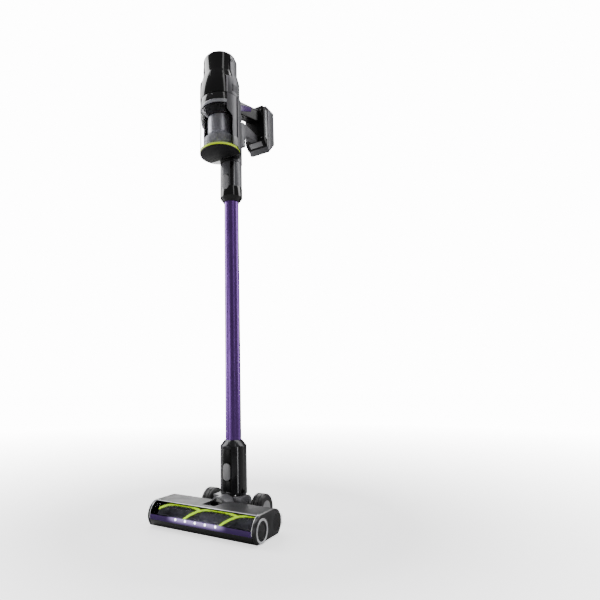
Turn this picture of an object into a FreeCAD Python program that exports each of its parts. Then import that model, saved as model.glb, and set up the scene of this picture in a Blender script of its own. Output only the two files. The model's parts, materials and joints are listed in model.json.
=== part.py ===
"""Cordless stick vacuum: floor head, swivel neck, wand, motor unit, dust bin, handle and battery.

Millimetres, +Z up, -Y to the front.  Every rule below is written with the wand's axis at
X = 0, Y = 0 and the floor at Z = 0; each finished sub-part is then placed further forward or
back, so that the origin is the middle of the whole object's footprint.
"""
import FreeCAD, Part
import os
import re
import Sketcher

SIZES = {
    # floor head
    "head_half_width": 128, "head_front_reach": 133, "head_height": 50, "nose_radius": 27,
    "heel_radius": 25, "heel_reach": 29.5, "head_wall": 2.4, "cover_depth": 6, "floor_gap": 3,
    "base_depth": 2.6, "mouth_rear_reach": 84, "window_rear_reach": 113, "window_wall": 2.2,
    "cover_round": 2.4, "shield_depth": 3, "duct_margin": 3, "duct_mouth_step": 4,
    "duct_near_step": 18, "duct_throat_step": 14,
    "strip_low_height": 17, "strip_high_height": 27, "glide_half_length": 5, "glide_width": 20,
    "glide_reach": 78, "glide_offset": 60,
    # lamps in the front strip
    "lamp_count": 5, "lamp_pitch": 24, "lamp_offset": -5.5, "lamp_radius": 2.2, "lamp_drop": 0.3,
    # brush, its cartridge and its drive
    "brush_core_radius": 14, "bristle_clearance": 0.6, "plug_depth": 6, "brush_core_wall": 3,
    "brush_left_end": -110,
    "brush_right_end": 117, "bristle_margin": 2, "end_plate_radius": 22.6, "end_plate_back": 118.5,
    "end_hole_radius": 23.2, "knob_radius": 16.5, "knob_depth": 4, "knob_bar_half_width": 3,
    "belt_left_side": -119, "belt_right_side": -112, "belt_thickness": 1.5, "drive_pulley_radius": 9,
    "motor_pulley_radius": 4.5, "brush_motor_radius": 14, "brush_motor_left": -106,
    "brush_motor_right": -50, "brush_motor_reach": 57, "brush_motor_height": 27,
    "shaft_radius": 2, "liner_wall": 1.6, "liner_gap": 0.9, "duct_half_width": 18, "duct_low_height": 8,
    "duct_high_height": 34, "duct_wall": 1.8, "duct_rear_reach": 60.5,
    # screws under the head
    "screw_radius": 1.5, "screw_head_radius": 3, "screw_head_depth": 1.6, "screw_length": 12,
    "post_radius": 4, "screw_near_reach": 54, "screw_far_reach": 73, "screw_inner_offset": 32,
    "screw_outer_offset": 108,
    # swivel: roll axis along Y, pitch axis along X
    "pivot_height": 38, "collar_radius": 21, "collar_bore": 18.4, "collar_front_reach": 58,
    "collar_rear_reach": 30, "scoop_reach": 97, "scoop_half_width": 16, "scoop_depth": 12,
    "pipe_radius": 18, "pipe_bore": 15, "pipe_front_reach": 57, "fork_radius": 17,
    "fork_inner_side": 22, "fork_outer_side": 35, "fork_web_reach": 27, "knuckle_inner_side": 15,
    "knuckle_outer_side": 21.5, "knuckle_radius": 16.4, "pin_radius": 4, "turn_gap": 0.6,
    "hose_radius": 12.5, "hose_wall": 1.5,
    # wheels
    "wheel_radius": 29.5, "wheel_reach": 9.6, "wheel_inner_side": 50, "wheel_outer_side": 76,
    "hub_radius": 19, "tyre_round": 5, "arm_inner_side": 40.5, "arm_outer_side": 49,
    "arm_half_height": 9, "arm_front_reach": 52, "axle_radius": 4, "axle_end_gap": 2,
    "running_gap": 0.06,
    # neck
    "neck_radius": 29, "neck_low_height": 56, "neck_shoulder_height": 155, "neck_top_height": 167,
    "neck_top_radius": 19.4, "neck_bore_radius": 18, "neck_air_radius": 14, "neck_seat_height": 98,
    "panel_half_width": 11, "panel_depth": 1.6, "panel_low_height": 62, "panel_high_height": 150,
    # release buttons on the neck and on the wand's collar
    "neck_button_low": 84.6, "neck_button_high": 120, "wand_button_low": 750,
    "wand_button_high": 788, "button_half_width": 8.5, "button_proud": 1.4, "button_depth": 6,
    "button_gap": 0.4, "button_play": 0.5, "pocket_wall": 1.6, "spring_radius": 3.4,
    # wand
    "tube_radius": 17.65, "tube_wall": 1.45, "tube_low_height": 100, "tube_high_height": 758,
    "collar_low_height": 724, "collar_shoulder_height": 735, "wand_collar_radius": 26.8,
    "wand_rim_height": 822, "wand_bore_radius": 18,
    # dust bin, lid and cyclone
    "bin_radius": 48.1, "bin_reach": 48.7, "bin_wall": 1.8, "bin_low_height": 834,
    "bin_high_height": 966, "lid_depth": 5, "lid_hinge_reach": 31, "hinge_radius": 2.6,
    "hinge_half_width": 18, "seal_depth": 2.4, "seal_width": 2, "shroud_radius": 29.5,
    "shroud_wall": 1.2, "shroud_low_height": 878, "shroud_high_height": 932, "skirt_radius": 38.5,
    "skirt_low_height": 842, "skirt_high_height": 867, "cyclone_plate_depth": 16,
    "cyclone_tube_radius": 19, "latch_half_width": 11, "latch_high_height": 858,
    "latch_low_height": 836, "latch_depth": 3, "inlet_half_width": 13, "inlet_low_height": 882,
    "inlet_high_height": 902,
    # motor unit
    "unit_radius": 48.7, "unit_wall": 1.8, "unit_low_height": 967, "unit_shoulder_height": 1012,
    "unit_neck_height": 1036, "unit_neck_radius": 43, "unit_rear_height": 1072,
    "seam_reach": 77.5, "cap_radius": 40.4, "cap_inner_radius": 38.2, "cap_seam_reach": 62.4,
    "cap_high_height": 1086, "cap_round": 9, "cap_wall": 2,
    "cap_foot_radius": 47.2, "motor_radius": 32, "motor_low_height": 986,
    "motor_high_height": 1027, "impeller_radius": 26, "impeller_depth": 9, "impeller_blades": 9,
    "blade_half_thickness": 0.8, "impeller_hub_radius": 7, "filter_radius": 34, "filter_bore": 20,
    "filter_high_height": 1074, "deck_depth": 2.5, "rear_gap": 0.5, "rear_wall": 2,
    # spine and foot behind the bin
    "spine_half_width": 20, "spine_rear_reach": 25, "spine_high_height": 966, "duct_front": 3.5,
    "spine_wall": 3, "foot_low_height": 823.5, "foot_high_height": 828.6, "foot_radius": 26.7,
    "nozzle_low_height": 762, "nozzle_wall": 2.2, "vent_count": 4, "vent_pitch": 4.2,
    "vent_half_width": 1.1, "vent_low_height": 974, "vent_high_height": 994,
    # handle, cradle and guard
    "grip_half_width": 15, "grip_top_height": 1003, "grip_slope": 0.3,
    "band_high_depth": 14, "band_high_taper": 0.115, "band_low_depth": 34, "band_low_taper": 0.21,
    "band_rear_reach": 79, "grip_base_depth": 35, "grip_root": 3, "grip_round": 4, "cradle_round": 8,
    "cradle_wall": 2.4, "cradle_sump": 8, "cradle_half_width": 30,
    "cradle_front": 123, "cradle_rear": 138.4, "cradle_low_height": 945, "cradle_high_height": 1050,
    "cradle_tip_height": 931, "rail_half_width": 10, "rail_depth": 6, "rail_low_height": 952,
    "rail_high_height": 1044, "guard_half_width": 9, "guard_low_height": 924,
    "guard_near_reach": 39, "guard_root_height": 936, "guard_tip_height": 957, "guard_top_height": 963,
    "guard_top_near": 46, "guard_top_far": 66, "guard_rear_height": 961, "guard_under_height": 931,
    "guard_under_reach": 62, "hook_near_reach": 41, "hook_far_reach": 57, "hook_low_height": 896,
    "hook_toe": 6, "trigger_half_width": 6, "trigger_near": 35, "trigger_far": 60, "trigger_slant": 5,
    "trigger_rise": 2, "trigger_lead": 4,
    "trigger_low_height": 972, "trigger_travel": 4,
    # battery pack and its latch
    "pack_half_width": 30, "pack_front_reach": 139, "pack_rear_reach": 183, "pack_top_height": 1056,
    "pack_tip_reach": 152, "pack_tip_height": 922, "pack_heel_height": 955, "pack_wall": 2, "pack_round": 4,
    "rail_gap": 0.6, "cell_count": 3, "cell_half_width": 25, "cell_depth": 8.2, "cell_length": 92,
    "cell_pitch": 8.5, "cell_reach": 147.4, "cell_low_height": 959,
    "port_radius": 3.2, "port_depth": 8, "port_height": 1000, "pack_slope": 1.3,
    "pack_latch_half_width": 19, "pack_latch_depth": 3, "pack_latch_travel": 2.5,
    # small fits
    "seat_gap": 0.1, "part_gap": 0.4,
    # small steps, gaps and seats
    "hub_step": 0.5, "pivot_play": 0.4, "neck_lift": 3, "collar_lip": 1.2, "housing_step": 4,
    "spine_round": 6, "nozzle_seat": 2.5, "vent_offset": 14, "can_wall": 1.5, "impeller_gap": 1.5,
    "impeller_backing": 1.5, "skirt_step": 4, "foot_overlap": 10, "seal_fit": 0.4, "latch_offset": 4,
}

doc = FreeCAD.newDocument("stick_vacuum")
sheet = doc.addObject("Spreadsheet::Sheet", "dim")
PLACES = {}
SUB_PARTS = []

# Places that several sub-parts share, written as rules.
BRUSH_Y = "(nose_radius - head_front_reach)"
BRUSH_Z = "(head_height - nose_radius)"
HEEL_Y = "(-heel_reach - heel_radius)"
HEEL_Z = "(head_height - heel_radius)"
BODY_X = "(head_half_width - cover_depth)"
BRISTLE_R = "(head_height - nose_radius - bristle_clearance)"
WINDOW_R = "(nose_radius - window_wall)"
BIN_Y = "(-bin_reach)"
LAMP_Z = "(strip_high_height - lamp_radius - lamp_drop)"
SHIFT_Y = "((head_front_reach - pack_rear_reach) / 2)"


def fill_sheet():
    """Write each size's name and plain number on a row of the sheet."""
    for row, (name, value) in enumerate(SIZES.items(), start=1):
        sheet.set(f"A{row}", name)
        sheet.set(f"B{row}", str(value))
        sheet.setAlias(f"B{row}", name)
    doc.recompute()


def rule(text):
    """Point every size named in a rule at its cell in the sheet."""
    return re.sub(r"\b[a-z]+(?:_[a-z]+)+\b", lambda word: "dim." + word[0], str(text))


def value(text):
    """The number that a rule gives now."""
    return float(sheet.evalExpression(rule(text)))


def bind(feature, **rules):
    """Bind properties of a feature to rules."""
    for name, text in rules.items():
        feature.setExpression(name, rule(text))
    return feature


def place(feature, x, y, z):
    """Bind the base point of a primitive."""
    for axis, text in zip("xyz", (x, y, z)):
        feature.setExpression(f"Placement.Base.{axis}", rule(text))
    PLACES[feature.Name] = y
    return feature


def box(x, y, z):
    """A block between pairs of rules."""
    feature = doc.addObject("Part::Box", "block")
    bind(feature, Length=f"({x[1]}) - ({x[0]})", Width=f"({y[1]}) - ({y[0]})",
         Height=f"({z[1]}) - ({z[0]})")
    return place(feature, x[0], y[0], z[0])


def both_sides(inner, outer, y, z):
    """Two blocks, mirror images across X = 0."""
    return [box((inner, outer), y, z), box((f"-({outer})", f"-({inner})"), y, z)]


TURNS = {
    "X": FreeCAD.Rotation(FreeCAD.Vector(0, 1, 0), 90),
    "Y": FreeCAD.Rotation(FreeCAD.Vector(1, 0, 0), -90),
    "Z": FreeCAD.Rotation(),
}


def stand(feature, axis, start, at):
    """Turn a round primitive along an axis and bind where it starts."""
    feature.Placement = FreeCAD.Placement(FreeCAD.Vector(), TURNS[axis])
    spots = {"X": (start, at[0], at[1]), "Y": (at[0], start, at[1]), "Z": (at[0], at[1], start)}
    return place(feature, *spots[axis])


def rod(axis, radius, span, at=("0", "0")):
    """A cylinder along an axis over a span, centred at the two other coordinates."""
    feature = bind(doc.addObject("Part::Cylinder", "rod"), Radius=radius,
                   Height=f"({span[1]}) - ({span[0]})")
    return stand(feature, axis, span[0], at)


def cone(axis, low_radius, high_radius, span, at=("0", "0")):
    """A truncated cone along an axis over a span."""
    feature = bind(doc.addObject("Part::Cone", "cone"), Radius1=low_radius, Radius2=high_radius,
                   Height=f"({span[1]}) - ({span[0]})")
    return stand(feature, axis, span[0], at)


def fuse(*shapes):
    """One solid from several that touch or overlap."""
    feature = doc.addObject("Part::MultiFuse", "joined")
    feature.Shapes = list(shapes)
    feature.Refine = True
    return feature


def group(*shapes):
    """Separate solids kept together as one sub-part."""
    feature = doc.addObject("Part::Compound", "group")
    feature.Links = list(shapes)
    return feature


def cut(base, *tools):
    """A solid with others taken out of it."""
    feature = doc.addObject("Part::Cut", "cut")
    feature.Base = base
    feature.Tool = tools[0] if len(tools) == 1 else fuse(*tools)
    return feature


def common(*shapes):
    """The space that all the solids share."""
    feature = doc.addObject("Part::MultiCommon", "shared")
    feature.Shapes = list(shapes)
    return feature


def ring(axis, outer, inner, span, at=("0", "0")):
    """A tube."""
    return cut(rod(axis, outer, span, at), rod(axis, inner, span, at))


def rounded(base, radius, chosen):
    """Round the edges of a solid whose bounding boxes pass a test."""
    doc.recompute()
    size = value(radius)
    picks = [(number, size, size) for number, edge in enumerate(base.Shape.Edges, start=1)
             if chosen(edge.BoundBox)]
    feature = doc.addObject("Part::Fillet", "rounded")
    feature.Base = base
    feature.Edges = picks
    return feature


def outline(body, role, points, offset="0"):
    """A closed sketch of straight lines, each corner tied to the origin by two rules."""
    sketch = body.newObject("Sketcher::SketchObject", body.Name + "_outline")
    plane = [item for item in body.Origin.OriginFeatures if item.Role == role][0]
    sketch.AttachmentSupport = [(plane, "")]
    sketch.MapMode = "FlatFace"
    sketch.setExpression("AttachmentOffset.Base.z", rule(offset))
    spots = [FreeCAD.Vector(value(u), value(v), 0) for u, v in points]
    for number, spot in enumerate(spots):
        sketch.addGeometry(Part.LineSegment(spot, spots[(number + 1) % len(spots)]))
    for number in range(len(spots)):
        sketch.addConstraint(Sketcher.Constraint("Coincident", number, 2, (number + 1) % len(spots), 1))
    for number, (corner, spot) in enumerate(zip(points, spots)):
        for kind, text, size in (("DistanceX", corner[0], spot.x), ("DistanceY", corner[1], spot.y)):
            index = sketch.addConstraint(Sketcher.Constraint(kind, -1, 1, number, 1, size))
            sketch.setExpression(f"Constraints[{index}]", rule(text))
    return sketch


def side_pad(name, points, half_width):
    """A body padded both ways along X from an outline in Y and Z."""
    body = doc.addObject("PartDesign::Body", name)
    pad = body.newObject("PartDesign::Pad", name + "_pad")
    pad.Profile = outline(body, "YZ_Plane", points)
    pad.Midplane = True
    bind(pad, Length=f"2 * ({half_width})")
    return body


def turned(name, points, at_y="0"):
    """A body revolved about the vertical axis from an outline of radius and height."""
    body = doc.addObject("PartDesign::Body", name)
    sketch = outline(body, "XZ_Plane", points)
    turn = body.newObject("PartDesign::Revolution", name + "_turn")
    turn.Profile = sketch
    turn.ReferenceAxis = (sketch, ["V_Axis"])
    turn.Angle = 360
    return place(body, "0", at_y, "0")


def sub_part(name, feature):
    """Name a finished solid and place it from the wand's axis to the footprint's middle."""
    feature.Label = name
    own = PLACES.get(feature.Name, "0")
    feature.setExpression("Placement.Base.y", rule(f"({own}) + {SHIFT_Y}"))
    SUB_PARTS.append(feature)
    return feature


# ---------------------------------------------------------------- floor head

def head_block(inset, x_span, low="floor_gap"):
    """The head's side profile, drawn in by an inset, over a span of X."""
    nose = rod("X", f"nose_radius - ({inset})", x_span, (BRUSH_Y, BRUSH_Z))
    heel = rod("X", f"heel_radius - ({inset})", x_span, (HEEL_Y, HEEL_Z))
    deck = box(x_span, (BRUSH_Y, HEEL_Y), ("0", f"head_height - ({inset})"))
    above = box(x_span, ("-head_front_reach - 1", "0"), (low, "head_height + 1"))
    return common(fuse(nose, heel, deck), above)


def nose_shell(x_half, low, high):
    """A strip of the nose's round wall between two heights, in front of the top housing."""
    wall = ring("X", "nose_radius", WINDOW_R, (f"-({x_half})", x_half), (BRUSH_Y, BRUSH_Z))
    limits = box((f"-({x_half})", x_half), ("-head_front_reach - 1", "-window_rear_reach"), (low, high))
    return common(wall, limits)


def screw_spots():
    """Where the screws stand under the head."""
    columns = ("-screw_inner_offset", "screw_inner_offset", "screw_outer_offset")
    return [(x, y) for x in columns for y in ("-screw_near_reach", "-screw_far_reach")]


def make_head_shells():
    """Top housing, base plate, window, front strip and lip, side covers and glides."""
    inside = (f"-{BODY_X}", BODY_X)
    skin = cut(head_block("0", inside), head_block("head_wall", inside, "0"))
    rear_part = box(inside, ("-window_rear_reach", "0"), ("0", "head_height + 1"))
    front = "-scoop_reach"
    back = "-collar_front_reach"
    floor = "head_height - scoop_depth"
    tray = side_pad("scoop_tray", [(front, "head_height"), (back, "head_height"),
                                   (back, f"{floor} - head_wall"), (front, "head_height - head_wall")],
                    "scoop_half_width + head_wall")
    scoop = side_pad("scoop", [(front, "head_height"), (f"{back} + 1", "head_height + 1"),
                               (f"{back} + 1", floor), (back, floor)], "scoop_half_width")
    post_foot = "floor_gap + base_depth + seat_gap"
    posts = [rod("Z", "post_radius", (post_foot, "head_height - head_wall / 2"), spot)
             for spot in screw_spots()]
    drills = [rod("Z", "screw_radius", ("0", "floor_gap + screw_length"), spot) for spot in screw_spots()]
    collar_hole = rod("Y", "collar_radius + seat_gap", (f"{back} - 0.1", "0"), ("0", "pivot_height"))
    arm_slots = both_sides("arm_inner_side - seat_gap", "arm_outer_side + seat_gap",
                           ("-arm_front_reach - 1", "0"),
                           ("wheel_radius - arm_half_height - seat_gap",
                            "wheel_radius + arm_half_height + seat_gap"))
    housing = cut(fuse(common(skin, rear_part), tray, *posts), scoop, collar_hole, *arm_slots, *drills)
    sub_part("head_top_housing", housing)

    plate = common(head_block("head_wall + seat_gap", (f"-{BODY_X} + part_gap", f"{BODY_X} - part_gap")),
                   box(inside, ("-mouth_rear_reach", "0"), ("floor_gap", "floor_gap + base_depth")))
    heads = [rod("Z", "screw_head_radius", ("floor_gap - 1", "floor_gap + screw_head_depth"), spot)
             for spot in screw_spots()]
    shanks = [rod("Z", "screw_radius", ("0", "floor_gap + base_depth + 1"), spot) for spot in screw_spots()]
    sub_part("head_base_plate", cut(plate, *heads, *shanks))
    screws = [fuse(rod("Z", "screw_head_radius", ("floor_gap", "floor_gap + screw_head_depth"), spot),
                   rod("Z", "screw_radius", ("floor_gap", "floor_gap + screw_length"), spot))
              for spot in screw_spots()]
    sub_part("head_screws", group(*screws))

    sub_part("brush_window", nose_shell(f"{BODY_X} - part_gap", "strip_high_height", "head_height + 1"))
    lamps = [rod("Y", "lamp_radius", ("-head_front_reach", f"{BRUSH_Y} - {WINDOW_R} + 1"),
                 (f"lamp_offset + {number - 2} * lamp_pitch",
                  LAMP_Z)) for number in range(SIZES["lamp_count"])]
    strip = nose_shell(f"{BODY_X} - part_gap", "strip_low_height", "strip_high_height")
    sub_part("front_accent_strip", cut(strip, *lamps))
    lenses = group(*[common(rod("Y", "lamp_radius - seat_gap", ("-head_front_reach", f"{BRUSH_Y}"),
                                (f"lamp_offset + {number - 2} * lamp_pitch",
                                 LAMP_Z)),
                            nose_shell(f"{BODY_X} - 1", "0", "head_height"))
                     for number in range(SIZES["lamp_count"])])
    sub_part("lamp_lenses", lenses)
    sub_part("front_lip", nose_shell(f"{BODY_X} - part_gap", "floor_gap", "strip_low_height"))

    left = head_block("0", ("-head_half_width", f"-{BODY_X}"))
    right = head_block("0", (BODY_X, "head_half_width"))
    end_hole = rod("X", "end_hole_radius", (f"{BODY_X} - 1", "head_half_width + 1"), (BRUSH_Y, BRUSH_Z))
    left = rounded(left, "cover_round", lambda edge: edge.XMax < -value("head_half_width") + 0.01
                   and edge.ZMax > value("floor_gap") + 0.5)
    sub_part("left_side_cover", left)
    sub_part("right_side_cover", cut(right, end_hole))
    glides = both_sides("glide_offset", "glide_offset + glide_width",
                        ("-glide_reach - glide_half_length", "-glide_reach + glide_half_length"),
                        ("0", "floor_gap"))
    sub_part("front_glides", group(*glides))


def make_head_insides():
    """Chamber liner with the suction duct, brush motor, belt and the two pulleys."""
    start = "belt_right_side + duct_margin"
    stop = f"{BODY_X} - part_gap"
    inner = f"({BRISTLE_R} + liner_gap)"
    liner = common(ring("X", f"{inner} + liner_wall", inner, (start, stop), (BRUSH_Y, BRUSH_Z)),
                   box((start, stop), (f"{BRUSH_Y} + duct_mouth_step", "0"),
                       ("floor_gap + base_depth + seat_gap", "head_height - head_wall - seat_gap")))
    duct_y = (f"{BRUSH_Y} + duct_near_step", "-duct_rear_reach")
    duct = cut(box(("-duct_half_width", "duct_half_width"), duct_y, ("duct_low_height", "duct_high_height")),
               rod("X", f"{inner} + liner_wall / 2", ("-duct_half_width - 1", "duct_half_width + 1"),
                   (BRUSH_Y, BRUSH_Z)))
    bore = box(("duct_wall - duct_half_width", "duct_half_width - duct_wall"),
               (f"{BRUSH_Y} + duct_throat_step", "1 - duct_rear_reach"),
               ("duct_low_height + duct_wall", "duct_high_height - duct_wall"))
    sub_part("brush_chamber_liner", cut(fuse(liner, duct), bore))

    motor_at = ("-brush_motor_reach", "brush_motor_height")
    can = rod("X", "brush_motor_radius", ("brush_motor_left", "brush_motor_right"), motor_at)
    shaft = rod("X", "shaft_radius", ("belt_left_side", "brush_motor_left"), motor_at)
    sub_part("brush_motor", fuse(can, shaft))
    belt_x = ("belt_left_side + 1", "belt_right_side - 1")

    def loop(extra):
        big = f"(drive_pulley_radius + {extra})"
        small = f"(motor_pulley_radius + {extra})"
        body = doc.addObject("PartDesign::Body", "belt_run")
        sketch = outline(body, "YZ_Plane", [
            (BRUSH_Y, f"{BRUSH_Z} - {big}"), ("-brush_motor_reach", f"brush_motor_height - {small}"),
            ("-brush_motor_reach", f"brush_motor_height + {small}"), (BRUSH_Y, f"{BRUSH_Z} + {big}")],
            belt_x[0])
        pad = body.newObject("PartDesign::Pad", "belt_pad")
        pad.Profile = sketch
        bind(pad, Length=f"({belt_x[1]}) - ({belt_x[0]})")
        return fuse(body, rod("X", big, belt_x, (BRUSH_Y, BRUSH_Z)), rod("X", small, belt_x, motor_at))

    sub_part("drive_belt", cut(loop("belt_thickness + part_gap"), loop("part_gap")))
    sub_part("brush_drive_pulley", rod("X", "drive_pulley_radius", ("belt_left_side", "belt_right_side"),
                                       (BRUSH_Y, BRUSH_Z)))
    sub_part("motor_pulley", ring("X", "motor_pulley_radius", "shaft_radius + running_gap",
                                  ("belt_left_side", "belt_right_side"), motor_at))


def make_brush():
    """Brush roll on its end plate, with the turning knob."""
    at = (BRUSH_Y, BRUSH_Z)
    core = ring("X", "brush_core_radius", "brush_core_radius - brush_core_wall",
                ("brush_left_end", "brush_right_end"), at)
    plug = rod("X", "brush_core_radius - brush_core_wall",
               ("brush_left_end", "brush_left_end + plug_depth"), at)
    sub_part("brush_core", fuse(core, plug))
    sub_part("brush_bristles", ring("X", BRISTLE_R, "brush_core_radius",
                                    ("brush_left_end + bristle_margin", "brush_right_end - bristle_margin"), at))
    outside = "head_half_width"
    disc = common(rod("X", "end_plate_radius", ("end_plate_back", outside), at),
                  box(("0", f"{outside} + 1"), ("-head_front_reach", "0"), ("floor_gap - 1", "head_height")))
    well = rod("X", "knob_radius + part_gap", (f"{outside} - knob_depth", f"{outside} + 1"), at)
    sub_part("brush_end_plate", cut(disc, well))
    knob = rod("X", "knob_radius", (f"{outside} - knob_depth + part_gap / 2", f"{outside} - 2"), at)
    bar = box((f"{outside} - 2", outside),
              (f"{BRUSH_Y} - knob_bar_half_width", f"{BRUSH_Y} + knob_bar_half_width"),
              (f"{BRUSH_Z} - knob_radius + 2", f"{BRUSH_Z} + knob_radius - 2"))
    sub_part("brush_knob", fuse(knob, bar))


def make_wheels():
    """Arms behind the head, stub axles, and a hub and a tyre on each side."""
    axle_at = ("wheel_reach", "wheel_radius")
    low = "wheel_radius - arm_half_height"
    high = "wheel_radius + arm_half_height"
    arms = both_sides("arm_inner_side", "arm_outer_side", ("-arm_front_reach", "wheel_reach"), (low, high))
    ends = [rod("X", "arm_half_height", ("arm_inner_side", "arm_outer_side"), axle_at),
            rod("X", "arm_half_height", ("-arm_outer_side", "-arm_inner_side"), axle_at)]
    hole = rod("X", "axle_radius", ("-arm_outer_side - 1", "arm_outer_side + 1"), axle_at)
    sub_part("wheel_arms", cut(group(fuse(arms[0], ends[0]), fuse(arms[1], ends[1])), hole))
    pin_end = "wheel_outer_side - axle_end_gap"
    sub_part("wheel_axles", group(rod("X", "axle_radius", ("arm_inner_side", pin_end), axle_at),
                                  rod("X", "axle_radius", (f"-({pin_end})", "-arm_inner_side"), axle_at)))
    for side, sign in (("right", 1), ("left", -1)):
        span = ("wheel_inner_side", "wheel_outer_side")
        hub_span = ("wheel_inner_side + hub_step", "wheel_outer_side - 1")
        bore_span = ("wheel_inner_side - 1", f"{pin_end} + hub_step")
        if sign < 0:
            span, hub_span, bore_span = [(f"-({far})", f"-({near})")
                                         for near, far in (span, hub_span, bore_span)]
        sub_part(side + "_wheel_hub", cut(rod("X", "hub_radius", hub_span, axle_at),
                                          rod("X", "axle_radius + running_gap", bore_span, axle_at)))
        tyre = ring("X", "wheel_radius", "hub_radius", span, axle_at)
        sub_part(side + "_wheel_tyre", rounded(tyre, "tyre_round", lambda edge: edge.ZLength
                                               > value("wheel_radius") * 1.9 and edge.XLength < 0.1))


# ---------------------------------------------------------------- swivel and neck

def make_swivel():
    """Collar on the head, elbow that rolls in it, its pins and the hose through the joint."""
    at = ("0", "pivot_height")
    tube = ring("Y", "collar_radius", "collar_bore", ("-collar_front_reach", "-collar_rear_reach"), at)
    lid = common(rod("Y", "collar_radius", ("-collar_front_reach - shield_depth", "-collar_front_reach"), at),
                 box(("-scoop_half_width", "scoop_half_width"), ("-collar_front_reach - shield_depth - 1", "0"),
                     ("pivot_height + 1", "pivot_height + collar_radius")))
    sub_part("swivel_collar", fuse(tube, lid))

    pipe = rod("Y", "pipe_radius", ("-pipe_front_reach", "-fork_web_reach + 1"), at)
    web = box(("-fork_outer_side", "fork_outer_side"), ("-fork_web_reach", "0"),
              ("pivot_height - fork_radius", "pivot_height + fork_radius - 1"))
    cheeks = rod("X", "fork_radius", ("-fork_outer_side", "fork_outer_side"), at)
    room = rod("X", "knuckle_radius + turn_gap + pivot_play", ("-fork_inner_side", "fork_inner_side"), at)
    behind = box(("-fork_inner_side", "fork_inner_side"), ("0", "fork_radius + 1"),
                 ("pivot_height - fork_radius - 1", "pivot_height + fork_radius + 1"))
    above = box(("-fork_inner_side", "fork_inner_side"), ("-knuckle_radius - turn_gap - pivot_play", "1"),
                ("pivot_height", "pivot_height + fork_radius + 1"))
    bore = rod("Y", "pipe_bore", ("-pipe_front_reach - 1", "0"), at)
    holes = rod("X", "pin_radius", ("-fork_outer_side - 1", "fork_outer_side + 1"), at)
    sub_part("swivel_elbow", cut(fuse(pipe, web, cheeks), room, behind, above, bore, holes))
    pins = [rod("X", "pin_radius", ("knuckle_inner_side", "fork_outer_side"), at),
            rod("X", "pin_radius", ("-fork_outer_side", "-knuckle_inner_side"), at)]
    sub_part("neck_pivot_pins", group(*pins))
    reach = ("-fork_web_reach", "-hose_wall")
    sub_part("swivel_hose", ring("Y", "hose_radius", "hose_radius - hose_wall", reach, at))


def release_button(prefix, low, high, barrel_radius, bore_radius):
    """A sprung push button in a barrel's front, with the pocket that it needs."""
    face = f"(-{barrel_radius} - button_proud)"
    key = rounded(box(("-button_half_width", "button_half_width"), (face, f"{face} + button_depth"),
                      (low, high)), "button_half_width - button_play",
                  lambda edge: edge.YLength > value("button_depth") - 0.1)
    sub_part(prefix + "_release_button", key)
    back = f"(-{bore_radius} - pocket_wall)"
    middle = ("0", f"({low} + {high}) / 2")
    sub_part(prefix + "_button_spring", rod("Y", "spring_radius", (f"{face} + button_depth", back), middle))
    return box(("-button_half_width - button_gap", "button_half_width + button_gap"),
               (f"-{barrel_radius} - 1", back), (f"{low} - button_gap", f"{high} + button_gap"))


def make_neck():
    """Neck housing with its knuckles, front panel and release button."""
    at = ("0", "pivot_height")
    barrel = rod("Z", "neck_radius", ("neck_low_height", "neck_shoulder_height"))
    top = cone("Z", "neck_radius", "neck_top_radius", ("neck_shoulder_height", "neck_top_height"))
    sides = both_sides("knuckle_inner_side", "knuckle_outer_side", ("-knuckle_radius", "knuckle_radius"),
                       ("pivot_height", "neck_low_height + neck_lift"))
    discs = [rod("X", "knuckle_radius", ("knuckle_inner_side", "knuckle_outer_side"), at),
             rod("X", "knuckle_radius", ("-knuckle_outer_side", "-knuckle_inner_side"), at)]
    wand_bore = rod("Z", "neck_bore_radius", ("neck_seat_height", "neck_top_height + 1"))
    air = rod("Z", "neck_air_radius", ("neck_low_height - 1", "neck_seat_height + 1"))
    holes = rod("X", "pin_radius + running_gap", ("-fork_outer_side", "fork_outer_side"), at)
    pocket = release_button("neck", "neck_button_low", "neck_button_high", "neck_radius", "neck_bore_radius")
    recess = cut(box(("-panel_half_width", "panel_half_width"), ("-neck_radius - 1", "0"),
                     ("panel_low_height", "panel_high_height")),
                 rod("Z", "neck_radius - panel_depth", ("panel_low_height - 1", "panel_high_height + 1")))
    sub_part("neck_housing", cut(fuse(barrel, top, *sides, *discs), wand_bore, air, holes, pocket, recess))
    panel = cut(common(rod("Z", "neck_radius", ("panel_low_height", "panel_high_height")),
                       box(("seat_gap - panel_half_width", "panel_half_width - seat_gap"),
                           ("-neck_radius - 1", "0"),
                           ("panel_low_height + seat_gap", "panel_high_height - seat_gap"))),
                rod("Z", "neck_radius - panel_depth + seat_gap", ("panel_low_height", "panel_high_height")),
                box(("-button_half_width - button_gap", "button_half_width + button_gap"),
                    ("-neck_radius - 1", "0"), ("neck_button_low - button_gap", "neck_button_high + button_gap")))
    sub_part("neck_front_panel", panel)


# ---------------------------------------------------------------- wand

def make_wand():
    """Wand tube, and the collar at its top with a release button."""
    sub_part("wand_tube", ring("Z", "tube_radius", "tube_radius - tube_wall",
                               ("tube_low_height", "tube_high_height")))
    skirt = cone("Z", "tube_radius + collar_lip", "wand_collar_radius",
                 ("collar_low_height", "collar_shoulder_height"))
    barrel = rod("Z", "wand_collar_radius", ("collar_shoulder_height", "wand_rim_height"))
    tube_hole = rod("Z", "tube_radius", ("collar_low_height - 1", "tube_high_height"))
    spigot_hole = rod("Z", "wand_bore_radius", ("tube_high_height", "wand_rim_height + 1"))
    pocket = release_button("wand", "wand_button_low", "wand_button_high", "wand_collar_radius",
                            "wand_bore_radius")
    sub_part("wand_collar", cut(fuse(skirt, barrel), tube_hole, spigot_hole, pocket))


# ---------------------------------------------------------------- motor unit

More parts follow.
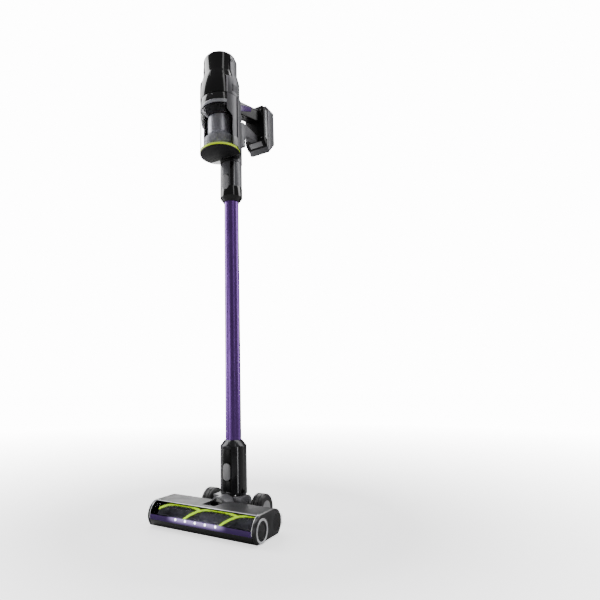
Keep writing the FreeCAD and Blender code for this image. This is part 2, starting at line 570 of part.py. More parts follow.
def unit_profile(inset):
    """Radius and height of the motor unit's shell, drawn in by an inset."""
    wide = f"unit_radius - ({inset})"
    slim = f"unit_neck_radius - ({inset})"
    return [("0", "unit_low_height"), (wide, "unit_low_height"), (wide, "unit_shoulder_height"),
            (slim, "unit_neck_height"), (slim, "unit_rear_height"), ("0", "unit_rear_height")]


def make_rear_housing():
    """Grey shell round the back of the unit and the bin, with the spine, its duct and the foot."""
    at = ("0", BIN_Y)
    upper = cut(turned("unit_outer", unit_profile("0"), BIN_Y),
                turned("unit_inner", unit_profile("unit_wall"), BIN_Y),
                box(("-unit_radius", "unit_radius"), ("-2 * unit_radius - bin_reach", "-seam_reach"),
                    ("unit_low_height - 1", "unit_shoulder_height")),
                box(("-unit_radius", "unit_radius"), ("-2 * unit_radius - bin_reach", "-cap_seam_reach"),
                    ("unit_shoulder_height", "unit_rear_height + 1")))
    shell = common(ring("Z", "unit_radius + rear_gap + rear_wall", "bin_radius + rear_gap",
                        ("foot_high_height + housing_step", "unit_low_height"), at),
                   box(("-unit_radius - 5", "unit_radius + 5"), (f"{BIN_Y} + 1", "10"),
                       ("foot_low_height", "unit_low_height + 1")))
    bin_room = rod("Z", "bin_radius + rear_gap", ("foot_high_height", "unit_low_height"), at)
    unit_room = turned("unit_room", unit_profile("unit_wall"), BIN_Y)
    spine = cut(box(("-spine_half_width", "spine_half_width"), ("-8", "spine_rear_reach"),
                    ("foot_high_height - 1", "spine_high_height")), bin_room, unit_room)
    spine = rounded(spine, "spine_round", lambda edge: edge.YMin > value("spine_rear_reach") - 0.1
                    and edge.ZLength > 40)
    foot = rod("Z", "foot_radius", ("foot_low_height", "foot_high_height"))
    air = "tube_radius - nozzle_wall"
    seat = rod("Z", "tube_radius", ("foot_low_height - 1", "foot_low_height + nozzle_seat"))
    throat = rod("Z", air, ("foot_low_height", "foot_high_height + 0.1"))
    duct = box(("spine_wall - spine_half_width", "spine_half_width - spine_wall"),
               ("duct_front", "spine_rear_reach - spine_wall"), ("foot_high_height", "inlet_high_height + 2"))
    port = box(("-inlet_half_width", "inlet_half_width"), ("-6", "duct_front + 1"),
               ("inlet_low_height", "inlet_high_height"))
    slots = []
    for number in range(SIZES["vent_count"]):
        reach = f"({BIN_Y} - vent_offset + {number} * vent_pitch)"
        slots.append(box(("-unit_radius - 2", "unit_radius + 2"),
                         (f"{reach} - vent_half_width", f"{reach} + vent_half_width"),
                         ("vent_low_height", "vent_high_height")))
    sub_part("rear_housing", cut(fuse(upper, shell, spine, foot), seat, throat, duct, port, *slots))
    sub_part("nozzle_tube", ring("Z", "tube_radius", air,
                                 ("nozzle_low_height", "foot_low_height + nozzle_seat")))


def make_motor_unit():
    """Front cover, deck, motor, impeller, exhaust filter and the cap that lifts off."""
    at = ("0", BIN_Y)
    ahead = box(("-unit_radius", "unit_radius"), ("-2 * unit_radius - bin_reach", "-seam_reach - part_gap"),
                ("unit_low_height", "unit_shoulder_height - seat_gap"))
    cover = cut(turned("cover_outer", unit_profile("0"), BIN_Y),
                turned("cover_inner", unit_profile("unit_wall"), BIN_Y))
    sub_part("motor_front_cover", common(cover, ahead))
    inside = "unit_radius - unit_wall - seat_gap"
    deck = ring("Z", inside, "impeller_radius + 2", ("unit_low_height", "unit_low_height + deck_depth"), at)
    can = ring("Z", "motor_radius", "motor_radius - can_wall",
               ("unit_low_height + deck_depth", "motor_high_height"), at)
    sub_part("motor_deck", fuse(deck, can))
    sub_part("motor", rod("Z", "motor_radius - 2 * can_wall", ("motor_low_height", "motor_high_height"), at))
    wheel_z = ("motor_low_height - impeller_depth - impeller_gap", "motor_low_height - impeller_gap")
    blades = []
    for number in range(SIZES["impeller_blades"]):
        blade = box(("0", "impeller_radius"), ("-blade_half_thickness", "blade_half_thickness"), wheel_z)
        turn = doc.addObject("Part::Compound", "blade")
        turn.Links = [blade]
        turn.Placement = FreeCAD.Placement(FreeCAD.Vector(), FreeCAD.Rotation(
            FreeCAD.Vector(0, 0, 1), 360 * number / SIZES["impeller_blades"]))
        turn.setExpression("Placement.Base.y", rule(BIN_Y))
        blades.append(turn)
    hub = rod("Z", "impeller_hub_radius", wheel_z, at)
    backing = rod("Z", "impeller_radius", (f"{wheel_z[1]} - impeller_backing", wheel_z[1]), at)
    sub_part("impeller", fuse(hub, backing, *blades))

    filter_z = ("motor_high_height", "filter_high_height")
    sub_part("exhaust_filter", ring("Z", "filter_radius", "filter_bore", filter_z, at))
    foot = "unit_shoulder_height + seat_gap"
    crown = rod("Z", "cap_radius", ("unit_neck_height - 1", "cap_high_height"), at)
    crown = rounded(crown, "cap_round", lambda edge: edge.ZMin > value("cap_high_height") - 0.1)
    skirt = cone("Z", "cap_foot_radius", "cap_radius", (foot, "unit_neck_height"), at)
    step = cut(box(("-cap_foot_radius - 1", "cap_foot_radius + 1"), ("-cap_seam_reach - part_gap", "0"),
                   (f"{foot} - 1", "unit_rear_height + part_gap")),
               rod("Z", "cap_inner_radius", (f"{foot} - 2", "unit_rear_height + 1"), at))
    hollow = rod("Z", "cap_inner_radius - cap_wall",
                 (f"{foot} - 1", "cap_high_height - cap_wall - cap_round / 2"), at)
    flare = cone("Z", "cap_foot_radius - cap_wall", "cap_inner_radius - cap_wall",
                 (foot, "unit_neck_height"), at)
    sub_part("filter_cap", cut(fuse(crown, skirt), step, hollow, flare))


# ---------------------------------------------------------------- dust bin

def make_bin():
    """Clear cup, cyclone pieces, side latch, and the lid with its seal."""
    at = ("0", BIN_Y)
    inner = "bin_radius - bin_wall"
    cup = ring("Z", "bin_radius", inner, ("bin_low_height", "bin_high_height"), at)
    floor = common(rod("Z", "bin_radius", ("foot_high_height + part_gap", "bin_low_height + bin_wall"), at),
                   box(("-bin_radius", "bin_radius"), ("hinge_radius + part_gap - lid_hinge_reach", "1"),
                       ("foot_low_height", "bin_low_height + bin_wall")))
    port = box(("-inlet_half_width", "inlet_half_width"), ("-8", "1"),
               ("inlet_low_height", "inlet_high_height"))
    knuckles = rod("X", "hinge_radius", ("-hinge_half_width", "hinge_half_width"),
                   ("-lid_hinge_reach", "bin_low_height - lid_depth / 2 + 0.1"))
    sub_part("bin_cup", cut(fuse(cup, floor), port))
    plate_low = "bin_high_height - cyclone_plate_depth"
    plate = ring("Z", f"{inner} - seat_gap", "cyclone_tube_radius", (plate_low, "bin_high_height"), at)
    tube = ring("Z", "cyclone_tube_radius + bin_wall", "cyclone_tube_radius",
                ("skirt_high_height + skirt_step", "bin_high_height"), at)
    throat = ring("Z", "shroud_radius", "cyclone_tube_radius", ("shroud_high_height", plate_low), at)
    sub_part("cyclone_body", fuse(plate, tube, throat))
    sub_part("cyclone_shroud", ring("Z", "shroud_radius", "shroud_radius - shroud_wall",
                                    ("shroud_low_height", "shroud_high_height"), at))
    step = ring("Z", "shroud_radius", "cyclone_tube_radius + bin_wall",
                ("skirt_high_height", "shroud_low_height"), at)
    bell = ring("Z", "skirt_radius", "skirt_radius - bin_wall", ("skirt_low_height", "skirt_high_height"), at)
    web = ring("Z", "skirt_radius - bin_wall / 2", "cyclone_tube_radius",
               ("skirt_high_height - bin_wall", "skirt_high_height"), at)
    sub_part("cyclone_skirt", fuse(step, bell, web))

    lid_z = ("bin_low_height - lid_depth", "bin_low_height - seal_depth")
    ahead = box(("-bin_radius", "bin_radius"), ("-bin_reach - bin_radius", "-lid_hinge_reach"),
                ("foot_low_height", "bin_low_height + foot_overlap"))
    disc = common(rod("Z", "bin_radius", lid_z, at), ahead)
    sub_part("bin_lid", fuse(disc, knuckles))
    sub_part("lid_seal", common(ring("Z", "bin_radius - seal_fit", f"{inner} - seal_width",
                                     ("bin_low_height - seal_depth", "bin_low_height - seat_gap"), at), ahead))
    latch_y = f"{BIN_Y} - latch_offset"
    slab = common(ring("Z", "bin_radius + part_gap / 2 + latch_depth", "bin_radius + part_gap / 2",
                       ("latch_low_height", "latch_high_height"), at),
                  box(("0", "bin_radius + 10"),
                      (f"{latch_y} - latch_half_width", f"{latch_y} + latch_half_width / 3"),
                      ("latch_low_height", "latch_high_height")))
    sub_part("bin_latch", slab)


# ---------------------------------------------------------------- handle and battery

def grip_line(reach, depth="0"):
    """Height at a reach behind the wand, so far below the grip's top."""
    return f"grip_top_height + grip_slope * ({reach}) - ({depth})"


def on_grip(reach, depth="0"):
    """A point of the grip's side outline, from its reach and its depth below the grip's top."""
    return (reach, grip_line(reach, depth))


def band_high(reach):
    """Depth of the coloured band's upper edge, which rises towards the back."""
    return f"band_high_depth - band_high_taper * ({reach})"


def band_low(reach):
    """Depth of the coloured band's lower edge, which rises faster."""
    return f"band_low_depth - band_low_taper * ({reach})"


def make_handle():
    """Grip top, coloured band, the black frame with the battery cradle, guard and trigger."""
    near, far, band_end = "-grip_root", "cradle_front", "band_rear_reach"
    body = turned("grip_stop", unit_profile("-seat_gap"), BIN_Y)
    near_high = on_grip(near, band_high(near))
    end_high = on_grip(band_end, band_high(band_end))
    far_high = on_grip(far, band_high(band_end))
    near_low = on_grip(near, band_low(near))
    end_low = on_grip(band_end, band_low(band_end))
    top = side_pad("grip_top", [on_grip(near), on_grip(far), far_high, end_high, near_high], "grip_half_width")
    top = rounded(top, "grip_round", lambda edge: edge.YLength > 60 and edge.XLength < 0.1
                  and edge.ZMax > value(grip_line(far)) - 0.1)
    sub_part("grip_shell", cut(top, body))
    band = side_pad("grip_band", [near_high, end_high, end_low, near_low], "grip_half_width")
    sub_part("grip_accent", cut(band, body))

    base = side_pad("grip_base", [near_low, end_low, end_high, far_high, on_grip(far, "grip_base_depth"),
                                  on_grip(near, "grip_base_depth")], "grip_half_width - 1")
    cradle = side_pad("cradle", [("cradle_front", "cradle_high_height"),
                                 ("cradle_rear", "cradle_high_height"),
                                 ("cradle_rear", "cradle_tip_height"), ("cradle_front", "cradle_low_height")],
                      "cradle_half_width")
    cradle = rounded(cradle, "cradle_round", lambda edge: edge.YLength > 10
                     and edge.ZMin > value("cradle_high_height") - 0.1)
    hollow = box(("cradle_wall - cradle_half_width", "cradle_half_width - cradle_wall"),
                 ("cradle_front + cradle_wall", "cradle_rear - cradle_wall"),
                 ("cradle_low_height + cradle_sump", "cradle_high_height - cradle_wall"))
    rail = box(("-rail_half_width", "rail_half_width"), ("cradle_rear - 1", "cradle_rear + rail_depth"),
               ("rail_low_height", "rail_high_height"))
    trigger_room = box(("-trigger_half_width - part_gap", "trigger_half_width + part_gap"),
                       ("trigger_near - part_gap", "trigger_far + part_gap"),
                       ("trigger_low_height", grip_line("trigger_far", band_low("trigger_far"))))
    run = "(cradle_rear - cradle_front)"
    drop = "(cradle_low_height - cradle_tip_height)"
    slant = f"sqrt({run} * {run} + {drop} * {drop})"

    def on_chamfer(along, inward):
        """A point on the cradle's lower chamfer: a share of its length, then inwards."""
        return (f"cradle_front + {along} * {run} + ({inward}) * {drop} / {slant}",
                f"cradle_low_height - {along} * {drop} + ({inward}) * {run} / {slant}")

    def chamfer_pad(name, start, stop, outer, depth, half_width):
        return side_pad(name, [on_chamfer(start, outer), on_chamfer(stop, outer),
                               on_chamfer(stop, depth), on_chamfer(start, depth)], half_width)

    latch_room = chamfer_pad("latch_room", 0.06, 0.8, "-3", "pack_latch_depth + pack_latch_travel",
                             "pack_latch_half_width + part_gap")
    sub_part("handle_frame", cut(fuse(cut(base, body, trigger_room), cradle, rail), latch_room, hollow))
    sub_part("battery_latch", chamfer_pad("latch", 0.1, 0.76, "-1", "pack_latch_depth - 1",
                                          "pack_latch_half_width"))

    web = side_pad("guard_web", [
        ("spine_rear_reach", "guard_low_height"), ("spine_rear_reach", "guard_root_height - 2"),
        ("guard_near_reach", "guard_root_height"), ("guard_near_reach", "guard_tip_height"),
        ("guard_top_near", "guard_top_height"), ("guard_top_far", "guard_top_height"),
        ("cradle_front", "guard_rear_height"), ("cradle_front", "cradle_low_height"),
        ("guard_under_reach", "guard_under_height"), ("hook_far_reach", "guard_low_height - hook_toe"),
        ("hook_far_reach", "hook_low_height"), ("hook_near_reach", "hook_low_height - 2"),
        ("hook_near_reach", "guard_low_height - 2")],
        "guard_half_width")
    sub_part("handle_guard", web)
    key_top = grip_line("trigger_near", band_low("trigger_near")) + " - trigger_travel - 1"
    trigger = side_pad("trigger_key", [
        ("trigger_near", key_top), ("trigger_far", key_top),
        ("trigger_far - trigger_slant", "trigger_low_height + trigger_rise"),
        ("trigger_near + trigger_lead", "trigger_low_height")],
        "trigger_half_width")
    sub_part("trigger", trigger)


def make_battery():
    """Battery case on its rail, with the cells and a charging port in its back."""
    def case(inset):
        return side_pad("pack", [
            (f"pack_front_reach + {inset}", f"pack_top_height - {inset}"),
            (f"pack_rear_reach - {inset}", f"pack_top_height - {inset}"),
            (f"pack_rear_reach - {inset}", f"pack_heel_height + {inset}"),
            ("pack_tip_reach", f"pack_tip_height + pack_slope * {inset}"),
            (f"pack_front_reach + {inset}", f"pack_tip_height + pack_tip_reach - pack_front_reach + {inset}")],
            f"pack_half_width - {inset}")

    shell = rounded(case("0.0"), "pack_round", lambda edge: edge.YLength > 30 and edge.ZLength < 1)
    slot = box(("-rail_half_width - rail_gap", "rail_half_width + rail_gap"),
               ("pack_front_reach - 1", "cradle_rear + rail_depth + rail_gap"),
               ("rail_low_height - rail_gap", "pack_top_height + 1"))
    slot_wall = box(("-rail_half_width - rail_gap - pack_wall", "rail_half_width + rail_gap + pack_wall"),
                    ("pack_front_reach", "cradle_rear + rail_depth + rail_gap + pack_wall"),
                    ("rail_low_height - rail_gap - pack_wall", "pack_top_height"))
    port = rod("Y", "port_radius", ("pack_rear_reach - port_depth", "pack_rear_reach + 1"),
               ("0", "port_height"))
    boss = rod("Y", "port_radius + pack_wall",
               ("pack_rear_reach - port_depth - pack_wall", "pack_rear_reach - 0.1"),
               ("0", "port_height"))
    sub_part("battery_case", cut(fuse(cut(shell, case("pack_wall")), slot_wall, boss), slot, port))
    cells = []
    for number in range(SIZES["cell_count"]):
        near = f"(cell_reach + {number} * cell_pitch)"
        cells.append(box(("-cell_half_width", "cell_half_width"), (near, f"{near} + cell_depth"),
                         ("cell_low_height", "cell_low_height + cell_length")))
    sub_part("battery_cells", group(*cells))


def write_parts():
    """Check every feature, then write one STEP file for each sub-part."""
    doc.recompute()
    for feature in doc.Objects:
        if "Invalid" in feature.State or "Error" in feature.State:
            raise RuntimeError(f"{feature.Label} did not recompute: {feature.State}")
    os.makedirs("parts", exist_ok=True)
    for feature in SUB_PARTS:
        shape = feature.Shape
        if shape.isNull() or not shape.isValid() or not shape.Solids:
            raise RuntimeError(f"{feature.Label} has no valid solid")
        shape.exportStep(f"parts/{feature.Label}.step")
        print(f"{feature.Label:24s} solids {len(shape.Solids)}  volume {shape.Volume / 1000:9.2f} cm3")


fill_sheet()
make_head_shells()
make_head_insides()
make_brush()
make_wheels()
make_swivel()
make_neck()
make_wand()
make_rear_housing()
make_motor_unit()
make_bin()
make_handle()
make_battery()
write_parts()
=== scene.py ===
"""Looks of the cordless stick vacuum, built round its CAD frame. Metres, +Z up, -Y to the front."""
import json
import math

import bmesh
import bpy
from mathutils import Matrix, Vector
from mathutils.bvhtree import BVHTree


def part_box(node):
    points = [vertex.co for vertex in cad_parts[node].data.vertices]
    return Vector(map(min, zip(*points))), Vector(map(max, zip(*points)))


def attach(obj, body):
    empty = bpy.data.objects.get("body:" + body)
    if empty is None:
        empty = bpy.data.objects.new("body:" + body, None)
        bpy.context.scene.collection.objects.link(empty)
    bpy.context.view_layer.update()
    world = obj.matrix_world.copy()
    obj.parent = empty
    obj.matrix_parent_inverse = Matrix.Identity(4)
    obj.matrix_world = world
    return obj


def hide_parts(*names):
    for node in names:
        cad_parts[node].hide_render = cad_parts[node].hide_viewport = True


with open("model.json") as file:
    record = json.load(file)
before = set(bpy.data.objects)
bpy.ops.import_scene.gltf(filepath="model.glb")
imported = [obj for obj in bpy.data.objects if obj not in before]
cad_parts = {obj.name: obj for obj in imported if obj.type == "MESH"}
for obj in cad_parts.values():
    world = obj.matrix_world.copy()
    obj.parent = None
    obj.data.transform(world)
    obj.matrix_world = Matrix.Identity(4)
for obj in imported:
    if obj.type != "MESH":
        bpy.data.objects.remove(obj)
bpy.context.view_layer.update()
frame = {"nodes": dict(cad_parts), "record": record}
NODES = frame["nodes"]
BODY_OF = {node: body for body, nodes in frame["record"]["behaviour"]["bodies"].items() for node in nodes}
SLOT_OF = {row["node"]: row["material_slot"] for row in frame["record"]["subparts"]}
MM = 0.001
TAU = 2 * math.pi
SIDES = ((-1, "left"), (1, "right"))

# looks
GRAIN_SCALE = 1500
FLOOR_GLOW = 4.0
# strength of the painted lamp glow on the violet strip
STRIP_PAINTED_GLOW = 1.1
LAMP_ROW_SHIFT = 0.0055
WORLD_SEEN, WORLD_BOUNCED = 14.0, 0.16

# camera and lamps: place, size and power
LENS, SHIFT_X = 27.284, 0.1055
CAMERA_TURNS = (32.01, 10.75, -0.61)
CAMERA_FROM_WAND = (0.5655, -0.885, 0.2826)
LAMPS = [("left_wall", (-1.75, -0.35, 1.7), (1.2, 3.6), 66),
         ("right_strip", (1.75, -1.1, 1.8), (0.3, 3.4), 6),
         ("rear_right", (1.5, 1.2, 1.8), (1.0, 3.6), 36),
         ("rear_left", (-1.3, 1.6, 1.6), (0.9, 3.0), 30),
         ("low_front", (-0.9, -2.2, 0.5), (1.2, 0.9), 9),
         ("top_box", (0.1, 0.5, 3.0), (1.6, 1.0), 26)]

# places on the machine: millimetres and degrees, with the boss and pin heights in metres
UNIT_RADIUS = 48.7
NECK_SPAN = (60, 154)
COVER_SEAM_HIGHLIGHT_SPAN = (968, 1011)
TRIM_FOOT = {"left": 912, "right": 836}
LEFT_TRIM_LATE = 10
BOSS_HEIGHT, BOSS_ANGLE = 1.062, 76
PIN_HEIGHT, PIN_ANGLE = 0.9615, 11.75


# ---------------------------------------------------------------- places read from the frame

def middle(node):
    """Middle of a CAD node's box."""
    low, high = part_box(node)
    return (low + high) / 2


def size(node):
    """Lengths of a CAD node's box."""
    low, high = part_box(node)
    return high - low


WAND_Y = middle("wand_tube").y
BRUSH = middle("brush_core")
BIN = middle("cyclone_shroud")
HEAD_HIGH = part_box("head_top_housing")[1]
WINDOW_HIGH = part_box("brush_window")[1]


# ---------------------------------------------------------------- shader groups

def srgb(red, green, blue):
    """A colour given as 0 to 255 display values."""
    def linear(value):
        value /= 255
        return value / 12.92 if value <= 0.04045 else ((value + 0.055) / 1.055) ** 2.4
    return (linear(red), linear(green), linear(blue), 1)


def shader_group(name, inputs, outputs):
    """A new node group with its ends, from (name, kind, value) sockets."""
    group = bpy.data.node_groups.new(name, "ShaderNodeTree")
    for label, kind, value in inputs:
        socket = group.interface.new_socket(label, in_out="INPUT", socket_type="NodeSocket" + kind)
        socket.default_value = value
    for label, kind in outputs:
        group.interface.new_socket(label, in_out="OUTPUT", socket_type="NodeSocket" + kind)
    return group, group.nodes.new("NodeGroupInput"), group.nodes.new("NodeGroupOutput")


def wire(tree, kind, links=(), **settings):
    """A new shader node, its plain settings, and links or values for its inputs."""
    node = tree.nodes.new("ShaderNode" + kind)
    for name, value in settings.items():
        setattr(node, name, value)
    for name, source in dict(links).items():
        socket = node.inputs[name]
        if isinstance(source, bpy.types.NodeSocket):
            tree.links.new(source, socket)
        else:
            socket.default_value = source
    return node


def make_mottle():
    """Broad, faint changes of a base colour, with fine dust specks."""
    group, start, end = shader_group(
        "colour_mottle",
        [("Color", "Color", (0.5, 0.5, 0.5, 1)), ("Scale", "Float", 20), ("Amount", "Float", 0.1),
         ("Dust", "Float", 0.02)],
        [("Color", "Color")])
    place = wire(group, "TexCoord").outputs["Object"]
    broad = wire(group, "TexNoise", {"Vector": place, "Scale": start.outputs["Scale"], "Detail": 3.0})
    shade = wire(group, "MapRange", {"Value": broad.outputs["Fac"], "From Min": 0.3, "From Max": 0.7,
                                     "To Min": -1.0, "To Max": 1.0})
    swing = wire(group, "Math", {0: shade.outputs[0], 1: start.outputs["Amount"]}, operation="MULTIPLY")
    lift = wire(group, "Math", {0: swing.outputs[0], 1: 1.0}, operation="ADD")
    tinted = wire(group, "VectorMath", {0: start.outputs["Color"], "Scale": lift.outputs[0]},
                  operation="SCALE")
    fine = wire(group, "TexNoise", {"Vector": place, "Scale": 900.0, "Detail": 2.0})
    specks = wire(group, "MapRange", {"Value": fine.outputs["Fac"], "From Min": 0.62, "From Max": 0.8,
                                      "To Min": 0.0, "To Max": 1.0})
    dust = wire(group, "Math", {0: specks.outputs[0], 1: start.outputs["Dust"]}, operation="MULTIPLY")
    total = wire(group, "VectorMath", {0: tinted.outputs[0], 1: dust.outputs[0]}, operation="ADD")
    group.links.new(total.outputs[0], end.inputs["Color"])
    return group


def make_rub():
    """Roughness that varies where hands and cloths have rubbed a surface."""
    group, start, end = shader_group(
        "rubbed_roughness",
        [("Base", "Float", 0.4), ("Spread", "Float", 0.08), ("Scale", "Float", 35)],
        [("Roughness", "Float")])
    place = wire(group, "TexCoord").outputs["Object"]
    smear = wire(group, "TexNoise", {"Vector": place, "Scale": start.outputs["Scale"], "Detail": 4.0,
                                     "Distortion": 0.6})
    swing = wire(group, "MapRange", {"Value": smear.outputs["Fac"], "From Min": 0.3, "From Max": 0.7,
                                     "To Min": -1.0, "To Max": 1.0})
    share = wire(group, "Math", {0: swing.outputs[0], 1: start.outputs["Spread"]}, operation="MULTIPLY")
    total = wire(group, "Math", {0: share.outputs[0], 1: start.outputs["Base"]}, operation="ADD",
                 use_clamp=True)
    group.links.new(total.outputs[0], end.inputs["Roughness"])
    return group


def make_grain():
    """Moulded grain: a height from fine pits and slow waviness."""
    group, start, end = shader_group(
        "moulded_grain",
        [("Scale", "Float", 1500), ("Waviness", "Float", 0.15)],
        [("Height", "Float")])
    place = wire(group, "TexCoord").outputs["Object"]
    pits = wire(group, "TexVoronoi", {"Vector": place, "Scale": start.outputs["Scale"]},
                feature="SMOOTH_F1")
    waves = wire(group, "TexNoise", {"Vector": place, "Scale": 60.0, "Detail": 1.0})
    slow = wire(group, "Math", {0: waves.outputs["Fac"], 1: start.outputs["Waviness"]},
                operation="MULTIPLY")
    total = wire(group, "Math", {0: pits.outputs["Distance"], 1: slow.outputs[0]}, operation="ADD")
    group.links.new(total.outputs[0], end.inputs["Height"])
    return group


def make_brushed():
    """Fine lines along Z, as on a drawn and anodised tube."""
    group, start, end = shader_group(
        "drawn_lines", [("Density", "Float", 900), ("Stretch", "Float", 0.01)], [("Lines", "Float")])
    place = wire(group, "TexCoord").outputs["Object"]
    stretch = wire(group, "CombineXYZ", {"X": start.outputs["Density"], "Y": start.outputs["Density"]})
    along = wire(group, "Math", {0: start.outputs["Density"], 1: start.outputs["Stretch"]},
                 operation="MULTIPLY")
    group.links.new(along.outputs[0], stretch.inputs["Z"])
    scaled = wire(group, "VectorMath", {0: place, 1: stretch.outputs[0]}, operation="MULTIPLY")
    lines = wire(group, "TexNoise", {"Vector": scaled.outputs[0], "Scale": 1.0, "Detail": 3.0})
    group.links.new(lines.outputs["Fac"], end.inputs["Lines"])
    return group


def make_scratches():
    """A mask of thin, scattered scuffs."""
    group, start, end = shader_group(
        "scuffs", [("Scale", "Float", 60), ("Width", "Float", 0.02)], [("Mask", "Float")])
    place = wire(group, "TexCoord").outputs["Object"]
    bend = wire(group, "TexNoise", {"Vector": place, "Scale": 12.0, "Detail": 2.0})
    moved = wire(group, "VectorMath", {0: bend.outputs["Color"], 1: (0.03, 0.03, 0.03), 2: place},
                 operation="MULTIPLY_ADD")
    cells = wire(group, "TexVoronoi", {"Vector": moved.outputs[0], "Scale": start.outputs["Scale"]},
                 feature="DISTANCE_TO_EDGE")
    thin = wire(group, "Math", {0: cells.outputs["Distance"], 1: start.outputs["Width"]},
                operation="LESS_THAN")
    patch = wire(group, "TexNoise", {"Vector": place, "Scale": 25.0})
    few = wire(group, "Math", {0: patch.outputs["Fac"], 1: 0.6}, operation="GREATER_THAN")
    mask = wire(group, "Math", {0: thin.outputs[0], 1: few.outputs[0]}, operation="MULTIPLY")
    group.links.new(mask.outputs[0], end.inputs["Mask"])
    return group


GROUPS = {"mottle": make_mottle(), "rub": make_rub(), "grain": make_grain(),
          "lines": make_brushed(), "scuffs": make_scratches()}


def use_group(tree, key, **values):
    """One of the shared groups placed in a material, with its own values."""
    node = tree.nodes.new("ShaderNodeGroup")
    node.node_tree = GROUPS[key]
    for name, value in values.items():
        if isinstance(value, bpy.types.NodeSocket):
            tree.links.new(value, node.inputs[name])
        else:
            node.inputs[name].default_value = value
    return node


# ---------------------------------------------------------------- materials

def finish_material(name, color, rough, spread=0.05, mottle=0.08, dust=0.0, grain=0.0,
                    metal=0.0, coat=0.0, clear=0.0, ior=1.5, lines=0.0, scuffs=0.0, emission=None,
                    glow=0.0, sheen=0.0):
    """A procedural finish: varied colour and roughness, grain or drawn lines, coat or clear body."""
    material = bpy.data.materials.new(name)
    material.use_nodes = True
    tree = material.node_tree
    shader = tree.nodes["Principled BSDF"]
    shader.inputs["Metallic"].default_value = metal
    shader.inputs["IOR"].default_value = ior
    shader.inputs["Coat Weight"].default_value = coat
    shader.inputs["Coat Roughness"].default_value = 0.04
    shader.inputs["Transmission Weight"].default_value = clear
    shader.inputs["Sheen Weight"].default_value = sheen
    tone = use_group(tree, "mottle", Color=color, Amount=mottle, Dust=dust)
    color_out = tone.outputs["Color"]
    rough_out = use_group(tree, "rub", Base=rough, Spread=spread).outputs["Roughness"]
    height = None
    if lines:
        streak = use_group(tree, "lines").outputs["Lines"]
        shift = wire(tree, "MapRange", {"Value": streak, "From Min": 0.3, "From Max": 0.7,
                                        "To Min": 1 - lines, "To Max": 1 + lines})
        color_out = wire(tree, "VectorMath", {0: color_out, "Scale": shift.outputs[0]},
                         operation="SCALE").outputs[0]
        height = streak
    if grain:
        height = use_group(tree, "grain", Scale=GRAIN_SCALE).outputs["Height"]
    if scuffs:
        mask = use_group(tree, "scuffs").outputs["Mask"]
        more = wire(tree, "Math", {0: mask, 1: scuffs}, operation="MULTIPLY")
        rough_out = wire(tree, "Math", {0: rough_out, 1: more.outputs[0]}, operation="ADD",
                         use_clamp=True).outputs[0]
    tree.links.new(color_out, shader.inputs["Base Color"])
    tree.links.new(rough_out, shader.inputs["Roughness"])
    if height is not None:
        bump = wire(tree, "Bump", {"Height": height, "Strength": grain or lines, "Distance": 0.0004})
        tree.links.new(bump.outputs["Normal"], shader.inputs["Normal"])
    # Emission is real light for the lamp lenses and painted glow for the lime seal and fibre.
    if emission:
        shader.inputs["Emission Color"].default_value = emission
        shader.inputs["Emission Strength"].default_value = glow
    return material


